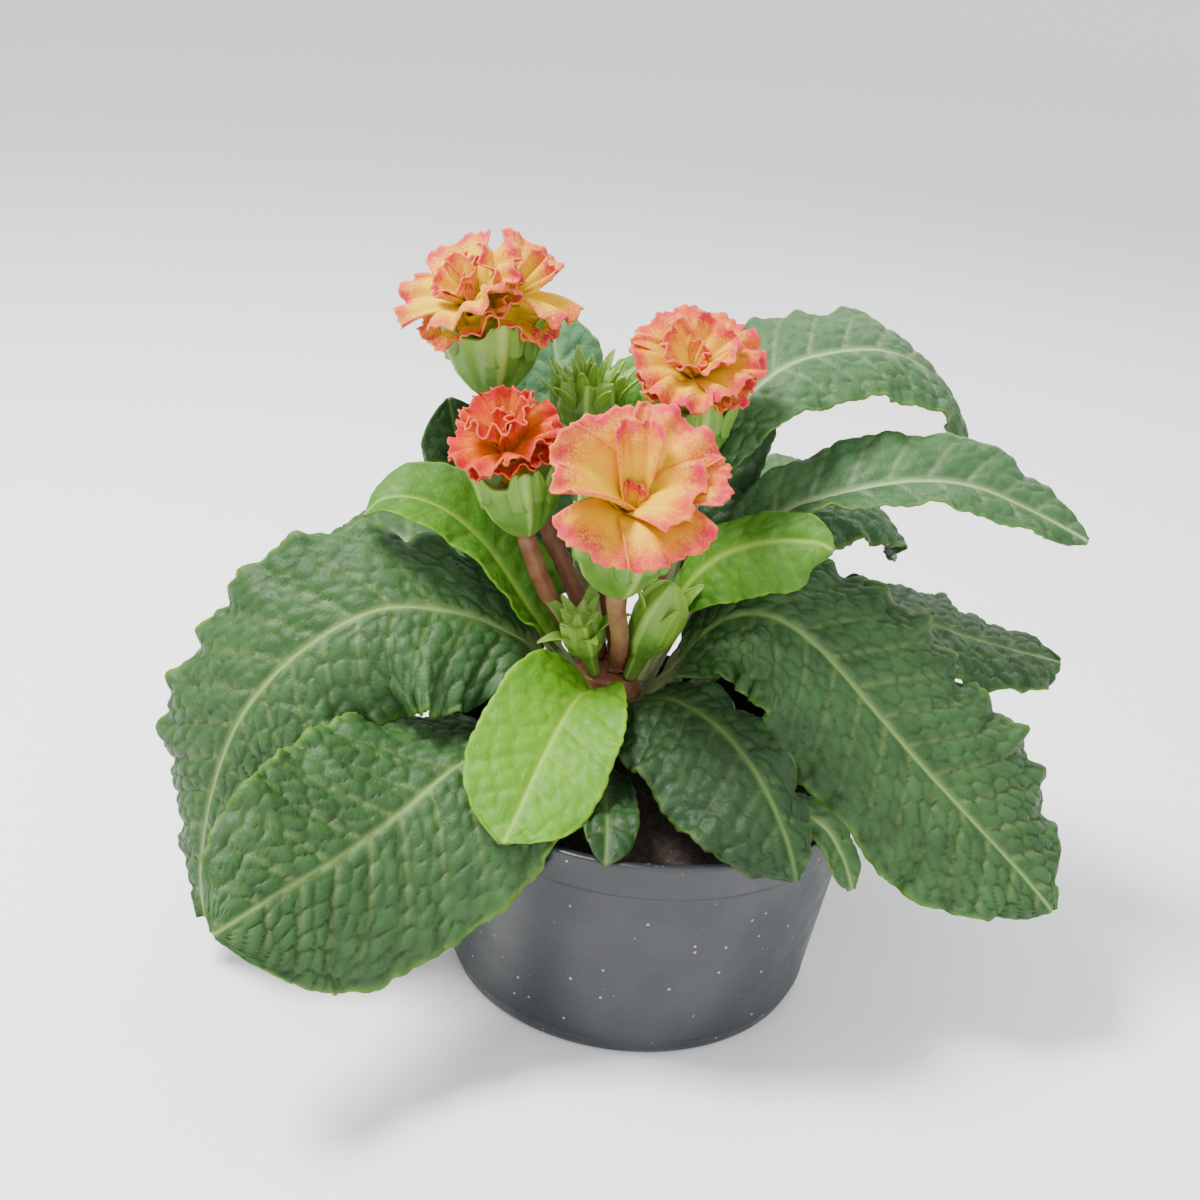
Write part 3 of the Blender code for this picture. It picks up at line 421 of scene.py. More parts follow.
# Leaf relief
MESH_STEP = 0.85
VEIN_SPACING = 10.5
VEIN_SLANT = 0.62
CELL = 5.0
BLISTER = 1.6
VALLEY = 0.9
TOOTH_SPACING = 3.9
TOOTH_DEPTH = 0.7
FRILL_LENGTH = 14.0
FRILL_SHARE = 0.8

# The lowest petals of a head, as shares of the way to its seat and of its first petal's size
SKIRT_SEAT = 0.1
SKIRT_LENGTH = 0.86
SKIRT_WIDTH = 0.85

# Whorls of sepals on a bud: how many, the first's clock angle, their seat as a share of the bud's
# length, and from its axis as a share of its radius, the opening at foot and tip, length and width
SEPALS = {
    "bud_cluster": [
        (7, 0, 0.45, 0.85, 12, 58, 12.0, 6.5),
        (7, 25, 0.55, 0.65, 8, 36, 12.0, 6.0),
        (5, 10, 0.6, 0.35, 4, 18, 11.0, 5.0),
        (3, 40, 0.6, 0.12, 1, 8, 10.0, 4.0),
    ],
    "bud_low_left": [
        (5, 20, 0.62, 0.75, 20, 84, 12.0, 6.5),
        (4, 50, 0.66, 0.45, 8, 40, 9.5, 5.0),
    ],
}

# The sepals of a bud that is still shut, and those pressed to the cup of an open flower
LONE_SEPALS = [(2, 60, 0.66, 0.9, 2, 44, 12.0, 6.5), (2, 150, 0.5, 0.98, -2, 4, 14.0, 8.0)]
CALYX_SEPALS = [(5, 36, 0.5, 0.92, 4, 20, 12.5, 9.5), (5, 4, 0.62, 0.99, 0, 10, 9.0, 8.0)]

# How each leaf looks: its tone and how crinkled it is; the darkest tone is painted shade, for leaves that
# lie in shadow
TONES = {
    "leaf_front_bright": ("bright", 0.55),
    "leaf_left_young": ("young", 0.4),
    "leaf_right_bright": ("young", 0.5),
    "leaf_right_top": ("grey", 0.7),
    "leaf_right_arch": ("grey", 0.6),
    "leaf_behind_flower": ("pale", 0.5),
    "leaf_behind_bud": ("young", 0.6),
    "leaf_left_upright": ("shaded_green", 0.5),
    "leaf_left_grey": ("grey", 0.7),
    "leaf_back_right": ("grey", 1.0),
    "leaf_right_dark": ("shaded_green", 0.8),
    "leaf_front_right": ("shaded_green", 0.9),
    "leaf_front_under": ("shaded_green", 0.9),
}

# Frilled lobes near a leaf's foot, on its left half: how far they stand out
BASE_LOBES = {"leaf_left_big": 9.0}

# Tones, as colours of the blade in its hollows, on its blisters, of its veins and of its margin; the darker
# hollows and lighter blisters are painted shade and painted highlight of the relief
LEAF_COLOURS = {
    "green": ((0.006, 0.032, 0.006), (0.036, 0.1, 0.024), (0.21, 0.32, 0.09), (0.085, 0.19, 0.012)),
    # A darker copy of the green, about half as bright throughout: painted shade for leaves that lie in
    # shadow
    "shaded_green": ((0.004, 0.02, 0.004), (0.014, 0.052, 0.009), (0.09, 0.16, 0.04), (0.045, 0.09, 0.01)),
    "grey": ((0.014, 0.056, 0.016), (0.052, 0.13, 0.04), (0.34, 0.46, 0.22), (0.11, 0.23, 0.025)),
    "pale": ((0.04, 0.13, 0.05), (0.1, 0.25, 0.105), (0.32, 0.48, 0.2), (0.15, 0.32, 0.05)),
    "young": ((0.022, 0.095, 0.004), (0.065, 0.19, 0.008), (0.22, 0.38, 0.04), (0.13, 0.29, 0.01)),
    "bright": ((0.045, 0.16, 0.004), (0.11, 0.29, 0.008), (0.28, 0.46, 0.04), (0.19, 0.39, 0.01)),
}

# Petal colours of each flower: heart, body, outer part and margin
PETAL_COLOURS = {
    "front": ((0.74, 0.52, 0.0), (0.71, 0.39, 0.0), (0.67, 0.18, 0.004), (0.52, 0.001, 0.055)),
    "left": ((0.72, 0.34, 0.0), (0.64, 0.14, 0.0), (0.55, 0.04, 0.001), (0.45, 0.001, 0.022)),
    "top": ((0.74, 0.54, 0.0), (0.72, 0.47, 0.0), (0.68, 0.3, 0.002), (0.52, 0.004, 0.05)),
    "right": ((0.76, 0.6, 0.0), (0.72, 0.42, 0.0), (0.64, 0.13, 0.003), (0.52, 0.001, 0.048)),
}


# Camera, in degrees and millimetres, and the place in metres that the lamps shine on
CAMERA_PITCH = 24.0
CAMERA_TILT = 5.5
CAMERA_TARGET = (-17.0, 0.0, 109.5)
CAMERA_DISTANCE = 432.0
CAMERA_LENS = 48.0
LAMP_TARGET = (0.0, 0.0, 0.1)


class Shader:
    """A material's node tree, with one short call for each kind of node."""

    def __init__(self, name, roughness, **settings):
        self.material = bpy.data.materials.new(name)
        self.material.use_nodes = True
        self.tree = self.material.node_tree
        self.surface = self.tree.nodes["Principled BSDF"]
        self.look(Roughness=roughness, **settings)

    def node(self, kind):
        return self.tree.nodes.new("ShaderNode" + kind)

    def put(self, socket, value):
        if isinstance(value, bpy.types.NodeSocket):
            self.tree.links.new(value, socket)
        elif isinstance(value, tuple) and len(value) == 3 and socket.type == "RGBA":
            socket.default_value = (*value, 1.0)
        else:
            socket.default_value = value

    def set(self, node, **inputs):
        for name, value in inputs.items():
            self.put(node.inputs[name.replace("_", " ")], value)

    def look(self, **inputs):
        self.set(self.surface, **inputs)

    def place(self):
        return self.node("TexCoord").outputs["Object"]

    def attribute(self, name):
        node = self.node("Attribute")
        node.attribute_name = name
        return node.outputs["Fac"]

    def noise(self, scale, detail=3.0, roughness=0.55):
        node = self.node("TexNoise")
        self.set(node, Vector=self.place(), Scale=scale, Detail=detail, Roughness=roughness)
        return node.outputs["Fac"]

    def cells(self, scale):
        node = self.node("TexVoronoi")
        self.set(node, Vector=self.place(), Scale=scale)
        return node.outputs["Distance"]

    def ramp(self, value, low, high, start=0.0, end=1.0):
        node = self.node("MapRange")
        node.interpolation_type = "SMOOTHSTEP"
        node.inputs[0].default_value = 0.0
        self.tree.links.new(value, node.inputs[0])
        for index, number in zip((1, 2, 3, 4), (low, high, start, end)):
            node.inputs[index].default_value = number
        return node.outputs[0]

    def times(self, first, second):
        node = self.node("Math")
        node.operation = "MULTIPLY"
        node.use_clamp = True
        for socket, value in zip(node.inputs, (first, second)):
            self.put(socket, value)
        return node.outputs[0]

    def mix(self, share, first, second):
        node = self.node("Mix")
        node.data_type = "RGBA"
        for index, value in ((0, share), (6, first), (7, second)):
            self.put(node.inputs[index], value)
        return node.outputs[2]

    def bump(self, height, distance, strength=1.0):
        node = self.node("Bump")
        self.set(node, Height=height, Distance=distance, Strength=strength)
        self.look(Normal=node.outputs["Normal"])


def leaf_material(tone):
    shaded_hollow, lit_blister, vein, margin = LEAF_COLOURS[tone]
    shader = Shader("leaf " + tone, 0.46, IOR=1.45)
    patch = shader.noise(90.0)
    # Painted shade in the hollows and painted highlight on the blisters: the colour follows the rise of the
    # relief, broken by random patches
    high = shader.attribute("bulge")
    shade = shader.ramp(patch, 0.2, 0.75, 0.35, 1.0)
    lit = shader.times(shader.ramp(high, 0.0, 1.0, 0.25, 1.0), shade)
    colour = shader.mix(lit, shaded_hollow, lit_blister)
    broken = shader.ramp(shader.noise(160.0), 0.3, 0.7, 0.35, 0.95)
    edge = shader.times(shader.attribute("edge"), broken)
    colour = shader.mix(edge, colour, margin)
    colour = shader.mix(shader.times(shader.attribute("vein"), 0.85), colour, vein)
    colour = shader.mix(shader.times(shader.attribute("stalk"), 0.6), colour, (0.4, 0.42, 0.2))
    sheen = shader.ramp(shader.noise(300.0), 0.2, 0.8, 0.4, 0.58)
    shader.look(Base_Color=colour, Roughness=sheen, Specular_IOR_Level=0.32)
    shader.bump(shader.noise(1100.0, 4.0, 0.6), 0.0005, 0.6)
    return shader.material


def petal_material(name):
    heart, body, outer, margin = PETAL_COLOURS[name]
    shader = Shader("petals " + name, 0.62)
    far = shader.attribute("far")
    streak = shader.noise(260.0, 4.0)
    colour = shader.mix(shader.ramp(far, 0.15, 0.6), heart, body)
    streaked = shader.times(shader.ramp(far, 0.55, 0.9), shader.ramp(streak, 0.35, 0.65))
    colour = shader.mix(streaked, colour, outer)
    speckle = shader.ramp(shader.noise(1500.0, 3.0, 0.7), 0.44, 0.56)
    patch = shader.ramp(shader.noise(210.0), 0.35, 0.7, 0.4, 1.0)
    spotted = shader.times(shader.times(speckle, patch), shader.ramp(far, 0.62, 0.88))
    colour = shader.mix(spotted, colour, margin)
    colour = shader.mix(shader.times(shader.ramp(far, 0.8, 0.95), patch), colour, margin)
    colour = shader.mix(shader.times(shader.attribute("rim"), 0.3), colour, (0.85, 0.3, 0.1))
    shader.look(Base_Color=colour, Subsurface_Weight=0.15, Subsurface_Scale=0.0015)
    shader.look(Subsurface_Radius=(1.0, 0.5, 0.1), Specular_IOR_Level=0.12)
    shader.bump(shader.noise(900.0, 3.0), 0.0003, 0.4)
    return shader.material


def calyx_material():
    shader = Shader("calyx green", 0.52)
    rib = shader.attribute("rib")
    up = shader.attribute("up")
    cloud = shader.ramp(shader.noise(120.0), 0.25, 0.75)
    colour = shader.mix(cloud, (0.06, 0.16, 0.014), (0.13, 0.265, 0.024))
    colour = shader.mix(shader.ramp(up, 0.45, 1.0, 0.0, 0.5), colour, (0.26, 0.44, 0.04))
    colour = shader.mix(shader.ramp(up, 0.0, 0.22, 0.45, 0.0), colour, (0.2, 0.17, 0.05))
    colour = shader.mix(shader.ramp(rib, 0.72, 0.98, 0.0, 0.55), colour, (0.36, 0.5, 0.11))
    shader.look(Base_Color=colour, Subsurface_Weight=0.2, Subsurface_Scale=0.002)
    shader.look(Subsurface_Radius=(0.6, 1.0, 0.25))
    shader.bump(shader.noise(1100.0, 4.0), 0.0003, 0.5)
    return shader.material


def stalk_material():
    shader = Shader("reddish stalk", 0.5)
    cloud = shader.ramp(shader.noise(180.0), 0.3, 0.7)
    colour = shader.mix(cloud, (0.17, 0.055, 0.026), (0.26, 0.11, 0.055))
    colour = shader.mix(shader.ramp(shader.noise(45.0), 0.5, 0.8, 0.0, 0.5), colour, (0.2, 0.2, 0.06))
    shader.look(Base_Color=colour, Subsurface_Weight=0.1, Subsurface_Scale=0.001)
    shader.bump(shader.noise(1600.0, 3.0), 0.0003, 0.6)
    return shader.material


def plastic_material():
    shader = Shader("black plastic", 0.4)
    dust = shader.ramp(shader.noise(38.0, 5.0), 0.4, 0.75)
    colour = shader.mix(dust, (0.015, 0.018, 0.022), (0.024, 0.027, 0.032))
    fleck = shader.ramp(shader.cells(260.0), 0.07, 0.13, 1.0, 0.0)
    some = shader.ramp(shader.noise(190.0, 1.0), 0.47, 0.54)
    colour = shader.mix(shader.times(fleck, some), colour, (0.36, 0.35, 0.33))
    low = shader.ramp(shader.attribute("up"), 0.0, 0.12, 0.6, 0.0)
    colour = shader.mix(shader.times(low, dust), colour, (0.02, 0.021, 0.022))
    sheen = shader.ramp(shader.noise(60.0, 4.0), 0.3, 0.7, 0.3, 0.52)
    shader.look(Base_Color=colour, Roughness=sheen)
    shader.bump(shader.noise(700.0, 4.0), 0.0003, 0.35)
    return shader.material


def soil_material():
    shader = Shader("soil", 0.95)
    cloud = shader.ramp(shader.noise(500.0, 6.0, 0.7), 0.3, 0.7)
    colour = shader.mix(cloud, (0.01, 0.008, 0.007), (0.055, 0.036, 0.024))
    colour = shader.mix(shader.ramp(shader.cells(300.0), 0.08, 0.16, 0.6, 0.0), colour, (0.14, 0.1, 0.06))
    shader.look(Base_Color=colour)
    shader.bump(shader.noise(900.0, 6.0, 0.7), 0.001, 1.0)
    return shader.material


def show(obj):
    bpy.context.scene.collection.objects.link(obj)


def dress(obj, node, material):
    """Puts a piece in the scene in place of its solid."""
    show(obj)
    obj.data.materials.append(material)
    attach(obj, "root")
    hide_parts(node)
    return obj


def grid_faces(rows, columns, first, closed=False):
    """Quads between the points of a grid whose points are numbered row by row from first."""
    faces = []
    for i in range(rows - 1):
        for j in range(columns if closed else columns - 1):
            k = (j + 1) % columns
            here = first + i * columns
            above = here + columns
            faces.append((here + j, above + j, above + k, here + k))
    return faces


def tube_faces(rings, sides):
    """Faces of a tube of rings, closed at both ends."""
    count = rings * sides
    faces = [face[::-1] for face in grid_faces(rings, sides, 0, closed=True)]
    return faces + [tuple(range(sides))[::-1], tuple(range(count - sides, count))]


def mesh_object(name, points, faces, attributes):
    """A smooth mesh from points in millimetres, with a named number on each point for the materials."""
    mesh = bpy.data.meshes.new(name)
    mesh.from_pydata((points * MM).tolist(), [], faces)
    for key, values in attributes.items():
        layer = mesh.attributes.new(key, "FLOAT", "POINT")
        layer.data.foreach_set("value", np.asarray(values, np.float32))
    mesh.shade_smooth()
    return bpy.data.objects.new(name, mesh)


def sheets_object(name, sheets, thickest):
    """Thin sheets as one object: each is (points in rows, thickness in millimetres, its named numbers)."""
    points, faces, thickness, attributes = [], [], [], {}
    count = 0
    for grid, thick, numbers in sheets:
        rows, columns = grid.shape[:2]
        faces += grid_faces(rows, columns, count)
        points.append(grid.reshape(-1, 3))
        thickness.append(np.broadcast_to(thick, (rows, columns)).reshape(-1))
        for key, values in numbers.items():
            attributes.setdefault(key, []).append(np.broadcast_to(values, (rows, columns)).reshape(-1))
        count += rows * columns
    joined = {key: np.concatenate(values) for key, values in attributes.items()}
    obj = mesh_object(name, np.vstack(points), faces, joined)
    group = obj.vertex_groups.new(name="thickness")
    for index, value in enumerate(np.concatenate(thickness)):
        group.add([index], float(value / thickest), "REPLACE")
    solid = obj.modifiers.new("thickness", "SOLIDIFY")
    solid.thickness = thickest * MM
    solid.offset = 0.0
    solid.vertex_group = "thickness"
    return obj


def step(value, low, high):
    share = np.clip((value - low) / (high - low), 0, 1)
    return share * share * (3 - 2 * share)


def cell_distances(first, second, size, rng):
    """Distances of each point of a plane to the nearest and second nearest of jittered cell centres."""
    a = np.arange(first.min() - 2 * size, first.max() + 2 * size, size)
    b = np.arange(second.min() - 2 * size, second.max() + 2 * size, size)
    centres = np.stack(np.meshgrid(a, b, indexing="ij"), -1)
    centres[1::2, :, 1] += size / 2
    centres = centres.reshape(-1, 2) + rng.uniform(-0.36, 0.36, (len(a) * len(b), 2)) * size
    spots = np.stack([first.reshape(-1), second.reshape(-1)], -1)
    near = np.empty((len(spots), 2))
    for start in range(0, len(spots), 1000):
        block = spots[start : start + 1000]
        away = np.linalg.norm(block[:, None] - centres[None], axis=2)
        near[start : start + 1000] = np.partition(away, 1, axis=1)[:, :2]
    return near[:, 0].reshape(first.shape), near[:, 1].reshape(first.shape)


def leaf_sheet(name, leaf, crinkle, seed):
    """The leaf with its net of sunken veins, blisters between them, and a toothed, frilled margin."""
    rng = np.random.default_rng(seed)
    reach = numbers_of(leaf["path"])
    length = float(np.sum(np.linalg.norm(np.diff(reach, axis=0), axis=1)))
    rows = int(length / MESH_STEP)
    half_columns = int(max(leaf["width"]) / MESH_STEP)
    columns = 2 * half_columns + 1
    along = np.linspace(0, 1, rows)
    across = np.linspace(-1, 1, columns)
    points, thickness = leaf_surface(leaf, along, across)
    ahead = unit(np.gradient(points, axis=0))
    side = np.gradient(points, axis=1)
    spread = np.linalg.norm(side, axis=-1)
    side = side / np.maximum(spread, 1e-6)[..., None]
    up = unit(np.cross(ahead, side))
    middle = points[:, half_columns]
    travelled = np.concatenate([[0], np.cumsum(np.linalg.norm(np.diff(middle, axis=0), axis=1))])[:, None]
    outwards = np.cumsum(spread, axis=1)
    outwards = outwards - outwards[:, half_columns : half_columns + 1]
    away = np.abs(outwards)
    t = np.abs(across)[None, :] * np.ones((rows, 1))
    x = np.clip((along - leaf["stalk"]) / (1 - leaf["stalk"]), 0, 1)[:, None] * np.ones_like(t)
    sign = np.sign(across)[None, :]
    slanted = travelled - VEIN_SLANT * away + 2.0 * (sign > 0)
    lateral = np.abs((slanted / VEIN_SPACING + 0.5) % 1 - 0.5) * VEIN_SPACING
    nearest, second = cell_distances(slanted, outwards * 1.1, CELL, rng)
    gap = second - nearest
    dome = 1 - np.exp(-gap / VALLEY)
    ridge = 1 - np.exp(-lateral / (1.5 * VALLEY))
    open_blade = step(x, 0.0, 0.1) * (1 - 0.6 * step(t, 0.93, 1.0)) * step(away, 0.5, 3.0)
    relief = crinkle * BLISTER * (0.8 * dome + 0.7 * ridge - 0.9) * open_blade
    relief = relief - 0.7 * np.exp(-((outwards / 1.1) ** 2)) * step(x, 0.0, 0.1) * (1 - step(x, 0.8, 1.0))
    wide = step(np.max(away, axis=1, keepdims=True), 4.0, 12.0)
    wave = 2 * math.pi * travelled / FRILL_LENGTH
    frill = np.sin(wave + 2 * sign + seed) + 0.32 * np.sin(2.3 * wave + 3 * sign) + 0.12 * np.sin(3.9 * wave)
    tooth = np.abs(np.sin(math.pi * travelled / TOOTH_SPACING + sign)) ** 0.7 - 0.5
    lobe = np.abs(np.sin(math.pi * slanted / VEIN_SPACING)) ** 0.8 - 0.5
    base_lobe = BASE_LOBES.get(name.removeprefix("look_"), 0.0) * (sign > 0)
    flare = base_lobe * step(x, 0.02, 0.16) * (1 - step(x, 0.36, 0.62)) * t**2
    points = points + side * flare[..., None] - up * (0.5 * flare)[..., None]
    outline = TOOTH_DEPTH * crinkle**0.5 * (0.7 * tooth * t**10 + 0.8 * lobe * t**5) * wide
    points = points + side * (sign * outline)[..., None]
    points = points + up * (relief + FRILL_SHARE * leaf["ruffle"] * frill * t**4 * wide)[..., None]
    net = np.exp(-((gap / 0.6) ** 2)) * 0.1 * crinkle**0.5
    lateral_line = np.exp(-((lateral / (0.9 - 0.3 * t)) ** 2)) * (0.42 - 0.3 * t)
    midrib = np.exp(-((outwards / (1.5 - 1.0 * x)) ** 2))
    vein = np.clip(np.maximum(np.maximum(net, lateral_line), midrib) * step(x, 0.0, 0.05), 0, 1)
    # bulge, the rise of the relief, sets the painted shade in the hollows and the painted highlight on the
    # blisters
    numbers = {
        "vein": vein,
        "edge": step(t, 0.93, 1.0) * step(x, 0.05, 0.3),
        "bulge": np.clip(0.6 * dome + 0.4 * ridge, 0, 1),
        "stalk": 1 - step(x, 0.0, 0.08),
    }
    return sheets_object(name, [(points, thickness, numbers)], STALK_THICKNESS + RIB)


def petal_sheet(head, petal):
    """A petal with a frilled margin."""
    rows, columns = 26, 29
    along = 0.02 + 0.98 * np.linspace(0, 1, rows) ** 0.85
    across = np.linspace(-1, 1, columns)
    points = petal_surface(head, petal, along, across)
    side = unit(np.gradient(points, axis=1))
    ahead = unit(np.gradient(points, axis=0))
    up = np.cross(ahead, side)
    s = along[:, None]
    v = across[None, :]
    phase = petal[8]
    margin = np.clip(np.maximum(s, 0.25 + 0.78 * np.abs(v)) * step(s, 0.2, 0.6), 0, 1)
    frill = 0.55 * np.sin(9.0 * v + 3 * phase) + 0.3 * np.sin(19.0 * v + phase)
    pleats = 0.45 * np.sin(8.0 * v + 2 * phase) * step(s, 0.25, 0.8)
    points = points + up * (1.0 * frill * margin**4 + pleats)[..., None]
    ragged = 0.35 * np.sin(23 * v + 5 * phase) + 0.25 * np.sin(41 * v + phase)
    points = points + ahead * (ragged * s**12)[..., None]
    sideward = np.abs(v)
    numbers = {
        "far": np.clip(np.maximum(s, (0.35 + 0.62 * sideward) * s**0.4), 0, 1),
        "rim": step(np.maximum(s, sideward * step(s, 0.3, 0.7)), 0.965, 1.0),
    }
    return points, PETAL_THICKNESS, numbers


def smooth_sections(sections, rings):
    """The rings of a body, with more of them between the ones given."""
    table = numbers_of(sections)
    steps = np.concatenate([[0], np.cumsum(np.hypot(*np.diff(table[:, :2], axis=0).T))])
    wanted = np.linspace(0, steps[-1], rings)
    return np.stack([np.interp(wanted, steps, table[:, k]) for k in range(table.shape[1])], -1)


def body_parts(foot, aim, sections, sides, rings, crease):
    """Points, rib and height numbers of a closed ribbed body along an axis."""
    axis, right, face_up = frame_of(foot, aim)
    rows = smooth_sections(sections, rings)
    a = 2 * math.pi * np.arange(sides) / sides
    lobes = sections[0][2]
    wave = np.cos(lobes * a)
    sharp = 2 * ((1 + wave) / 2) ** crease - 1
    fine = 0.3 * rows[:, 3, None] * np.cos(3 * lobes * a)
    radius = rows[:, 1, None] * (1 + rows[:, 3, None] * wave + fine)
    height = rows[:, 0, None] + rows[:, 4, None] * sharp
    spoke = right * np.cos(a)[:, None] + face_up * np.sin(a)[:, None]
    points = numbers_of(foot) + axis * height[..., None] + spoke[None] * radius[..., None]
    up = height / max(rows[:, 0].max(), 1e-6)
    return points, np.broadcast_to(sharp, up.shape), up


def closed_body(name, foot, aim, sections, sides=70, rings=46, crease=1.6):
    points, rib, up = body_parts(foot, aim, sections, sides, rings, crease)
    numbers = {"rib": rib.reshape(-1), "up": up.reshape(-1)}
    return mesh_object(name, points.reshape(-1, 3), tube_faces(rings, sides), numbers)


def sepal_sheet(foot, aim, start, clock, first, last, length, width):
    """A pointed sepal that stands on a bud, start millimetres from its axis, and opens from it."""
    axis, right, face_up = frame_of(foot, aim)
    outward, sideways = spoke_of(right, face_up, clock)
    s = np.linspace(0, 1, 18)[:, None]
    v = np.linspace(-1, 1, 11)[None, :]
    _, radial, axial = opening(first, last, length, s)
    half = width / 2 * (0.45 + 0.55 * np.clip(2.5 * s, 0, 1)) * (1 - s) ** 0.65
    over = half * v
    inwards = 0.45 * half * v**2 - 0.25 * np.cos(3 * math.pi * v) * s
    points = numbers_of(foot) + axis * (axial + 0 * v)[..., None]
    points = points + outward * (start + radial - inwards)[..., None] + sideways * over[..., None]
    return points, PETAL_THICKNESS, {"rib": np.cos(3 * math.pi * v) + 0 * s, "up": 0.5 + 0.5 * s + 0 * v}


def sepals_object(name, bud, whorls):
    """All sepals of a bud, from whorls in the order given above SEPALS."""
    foot = numbers_of(bud["foot"])
    aim = numbers_of(bud["aim"])
    length, radius = bud["size"]
    axis = unit(aim - foot)
    sheets = []
    for number, (count, clock, share, start, first, last, long, wide) in enumerate(whorls):
        for i in range(count):
            sway = math.sin(2.1 * i + 1.7 * number)
            base = foot + axis * share * length
            turn = clock + 360 * i / count + 8 * sway
            shape = (turn, first, last + 8 * sway, long * (1 + 0.1 * sway), wide)
            sheets.append(sepal_sheet(base, base + axis, start * radius, *shape))
    return sheets_object(name, sheets, 1.0)


def scaled(rows, lobes, length, radius):
    """Rings of a body, from its height and radius as shares, the depth of its ribs and its tips' height."""
    return [(up * length, out * radius, lobes, depth, tip) for up, out, depth, tip in rows]


def calyx_sections(flower, tip=2.4):
    rows = [
        (0.0, 0.24, 0.0, 0.0),
        (0.05, 0.36, 0.03, 0.0),
        (0.12, 0.47, 0.05, 0.0),
        (0.24, 0.61, 0.07, 0.0),
        (0.36, 0.73, 0.09, 0.0),
        (0.68, 0.92, 0.1, 0.0),
        (0.94, 1.0, 0.1, tip),
        (0.95, 0.95, 0.1, tip),
        (0.9, 0.84, 0.08, 0.6 * tip),
        (CALYX_FLOOR, 0.6, 0.0, 0.0),
    ]
    return scaled(rows, CALYX_LOBES, *flower["calyx"])


def bud_sections(bud):
    count, tip = bud["tips"]
    neck = bud["neck"]
    rows = [
        (0.0, 0.3, 0.0, 0.0),
        (neck, 0.42, 0.0, 0.0),
        (0.75 * neck + 0.25, 0.86, 0.05, 0.0),
        (0.5 * neck + 0.5, 1.0, 0.08, 0.1 * tip),
        (0.9, 0.8, 0.24, 0.5 * tip),
        (0.84, 0.4, 0.1, 0.1 * tip),
        (0.94, 0.14, 0.0, 0.0),
    ]
    return scaled(rows, count, *bud["size"])


def skirt_of(head, floor):
    """The lowest petals, which lean on the calyx below the head."""
    seat = floor + SKIRT_SEAT * (numbers_of(head["seat"]) - floor)
    length, width = head["whorls"][0][4:6]
    whorl = (5, 28, 24, 84, SKIRT_LENGTH * length, SKIRT_WIDTH * width, 60, 0, 1.2)
    return dict(seat=seat, face=head["face"], whorls=[whorl])


def closed_bud_sections(bud):
    """A bud that is still shut: an oval on its neck, drawn to a blunt tip."""
    neck = bud["neck"]
    rows = [
        (0.0, 0.3, 0.0, 0.0),
        (neck, 0.42, 0.0, 0.0),
        (neck + 0.1, 0.72, 0.03, 0.0),
        (neck + 0.22, 0.98, 0.05, 0.0),
        (0.62, 1.06, 0.07, 0.0),
        (0.76, 0.96, 0.09, 0.0),
        (0.87, 0.68, 0.1, 0.0),
        (0.94, 0.34, 0.1, 0.0),
        (0.98, 0.08, 0.0, 0.0),
    ]
    return scaled(rows, bud["tips"][0], *bud["size"])


def petals_object(name, flower):
    """Every petal of a flower, with the tubes that they grow from."""
    axis, _, _ = frame_of(flower["foot"], flower["aim"])
    length, radius = flower["calyx"]
    floor = numbers_of(flower["foot"]) + axis * (CALYX_FLOOR * length + SEAT_GAP)
    tube = 0.36 * radius
    sheets = []
    for head in flower["heads"]:
        seat = numbers_of(head["seat"])
        face = unit(numbers_of(head["face"]))
        rise = float(np.linalg.norm(seat + face * 2.0 - floor))
        profile = [(0.0, 0.9 * tube, 5, 0, 0), (0.5 * rise, 0.8 * tube, 5, 0, 0), (rise, 3.4, 5, 0.1, 0)]
        points, _, _ = body_parts(floor, seat + face * 2.0, profile, 24, 12, 1.0)
        points = np.concatenate([points, points[:, :1]], axis=1)[:, ::-1]
        sheets.append((points, 0.6, {"far": 0.1, "rim": 0.0}))
        sheets += [petal_sheet(head, petal) for petal in petals_of(head)]
        if head["whorls"][0][0] > 1:
            skirt = skirt_of(head, floor)
            sheets += [petal_sheet(skirt, petal) for petal in petals_of(skirt)]
    return sheets_object(name, sheets, 1.0)


def stalk_object(name, flower):
    (dx, dy), middle = flower["stalk"]
    axis, _, _ = frame_of(flower["foot"], flower["aim"])
    foot = np.array([CROWN_CENTRE[0] + dx, CROWN_CENTRE[1] + dy, CROWN_TOP + STALK_GAP])
    end = numbers_of(flower["foot"]) - axis * 0.1
    start = foot + np.array([0, 0, 3.0])
    way = [foot, start, numbers_of(middle), end - axis * 3.0, end]
    line, _ = smooth_curve(way, np.linspace(0, 1, STALK_RINGS))
    ahead = unit(np.gradient(line, axis=0))
    right = unit(np.cross([0.0, 1.0, 0.0], ahead))
    front = np.cross(ahead, right)
    a = 2 * math.pi * np.arange(STALK_SIDES) / STALK_SIDES
    ribbed = FLOWER_STALK_RADIUS * (1 + 0.04 * np.cos(5 * a))
    sideward = right[:, None] * (np.cos(a) * ribbed)[None, :, None]
    forward = front[:, None] * (np.sin(a) * ribbed)[None, :, None]
    points = line[:, None] + (sideward + forward)
    return mesh_object(name, points.reshape(-1, 3), tube_faces(STALK_RINGS, STALK_SIDES), {})


def turned_object(name, profile, steps, centre=(0.0, 0.0), ripple=None, closed=True):
    """A turned form from (radius, height) pairs that start on the axis and, when closed, end on it."""
    table = numbers_of(profile)
    a = 2 * math.pi * np.arange(steps) / steps
    radius = np.maximum(table[:, 0, None] * np.ones(steps), 0.001)
    height = table[:, 1, None] * np.ones(steps)
    if ripple is not None:
        height = height + ripple(radius, a[None, :])
    points = np.stack([centre[0] + radius * np.cos(a), centre[1] + radius * np.sin(a), height], -1)
    up = height / max(height.max(), 1e-6)
    faces = grid_faces(len(table), steps, 0, closed=True)
    if not closed:
        faces = [face[::-1] for face in faces]
    return mesh_object(name, points.reshape(-1, 3), faces, {"up": up.reshape(-1)})


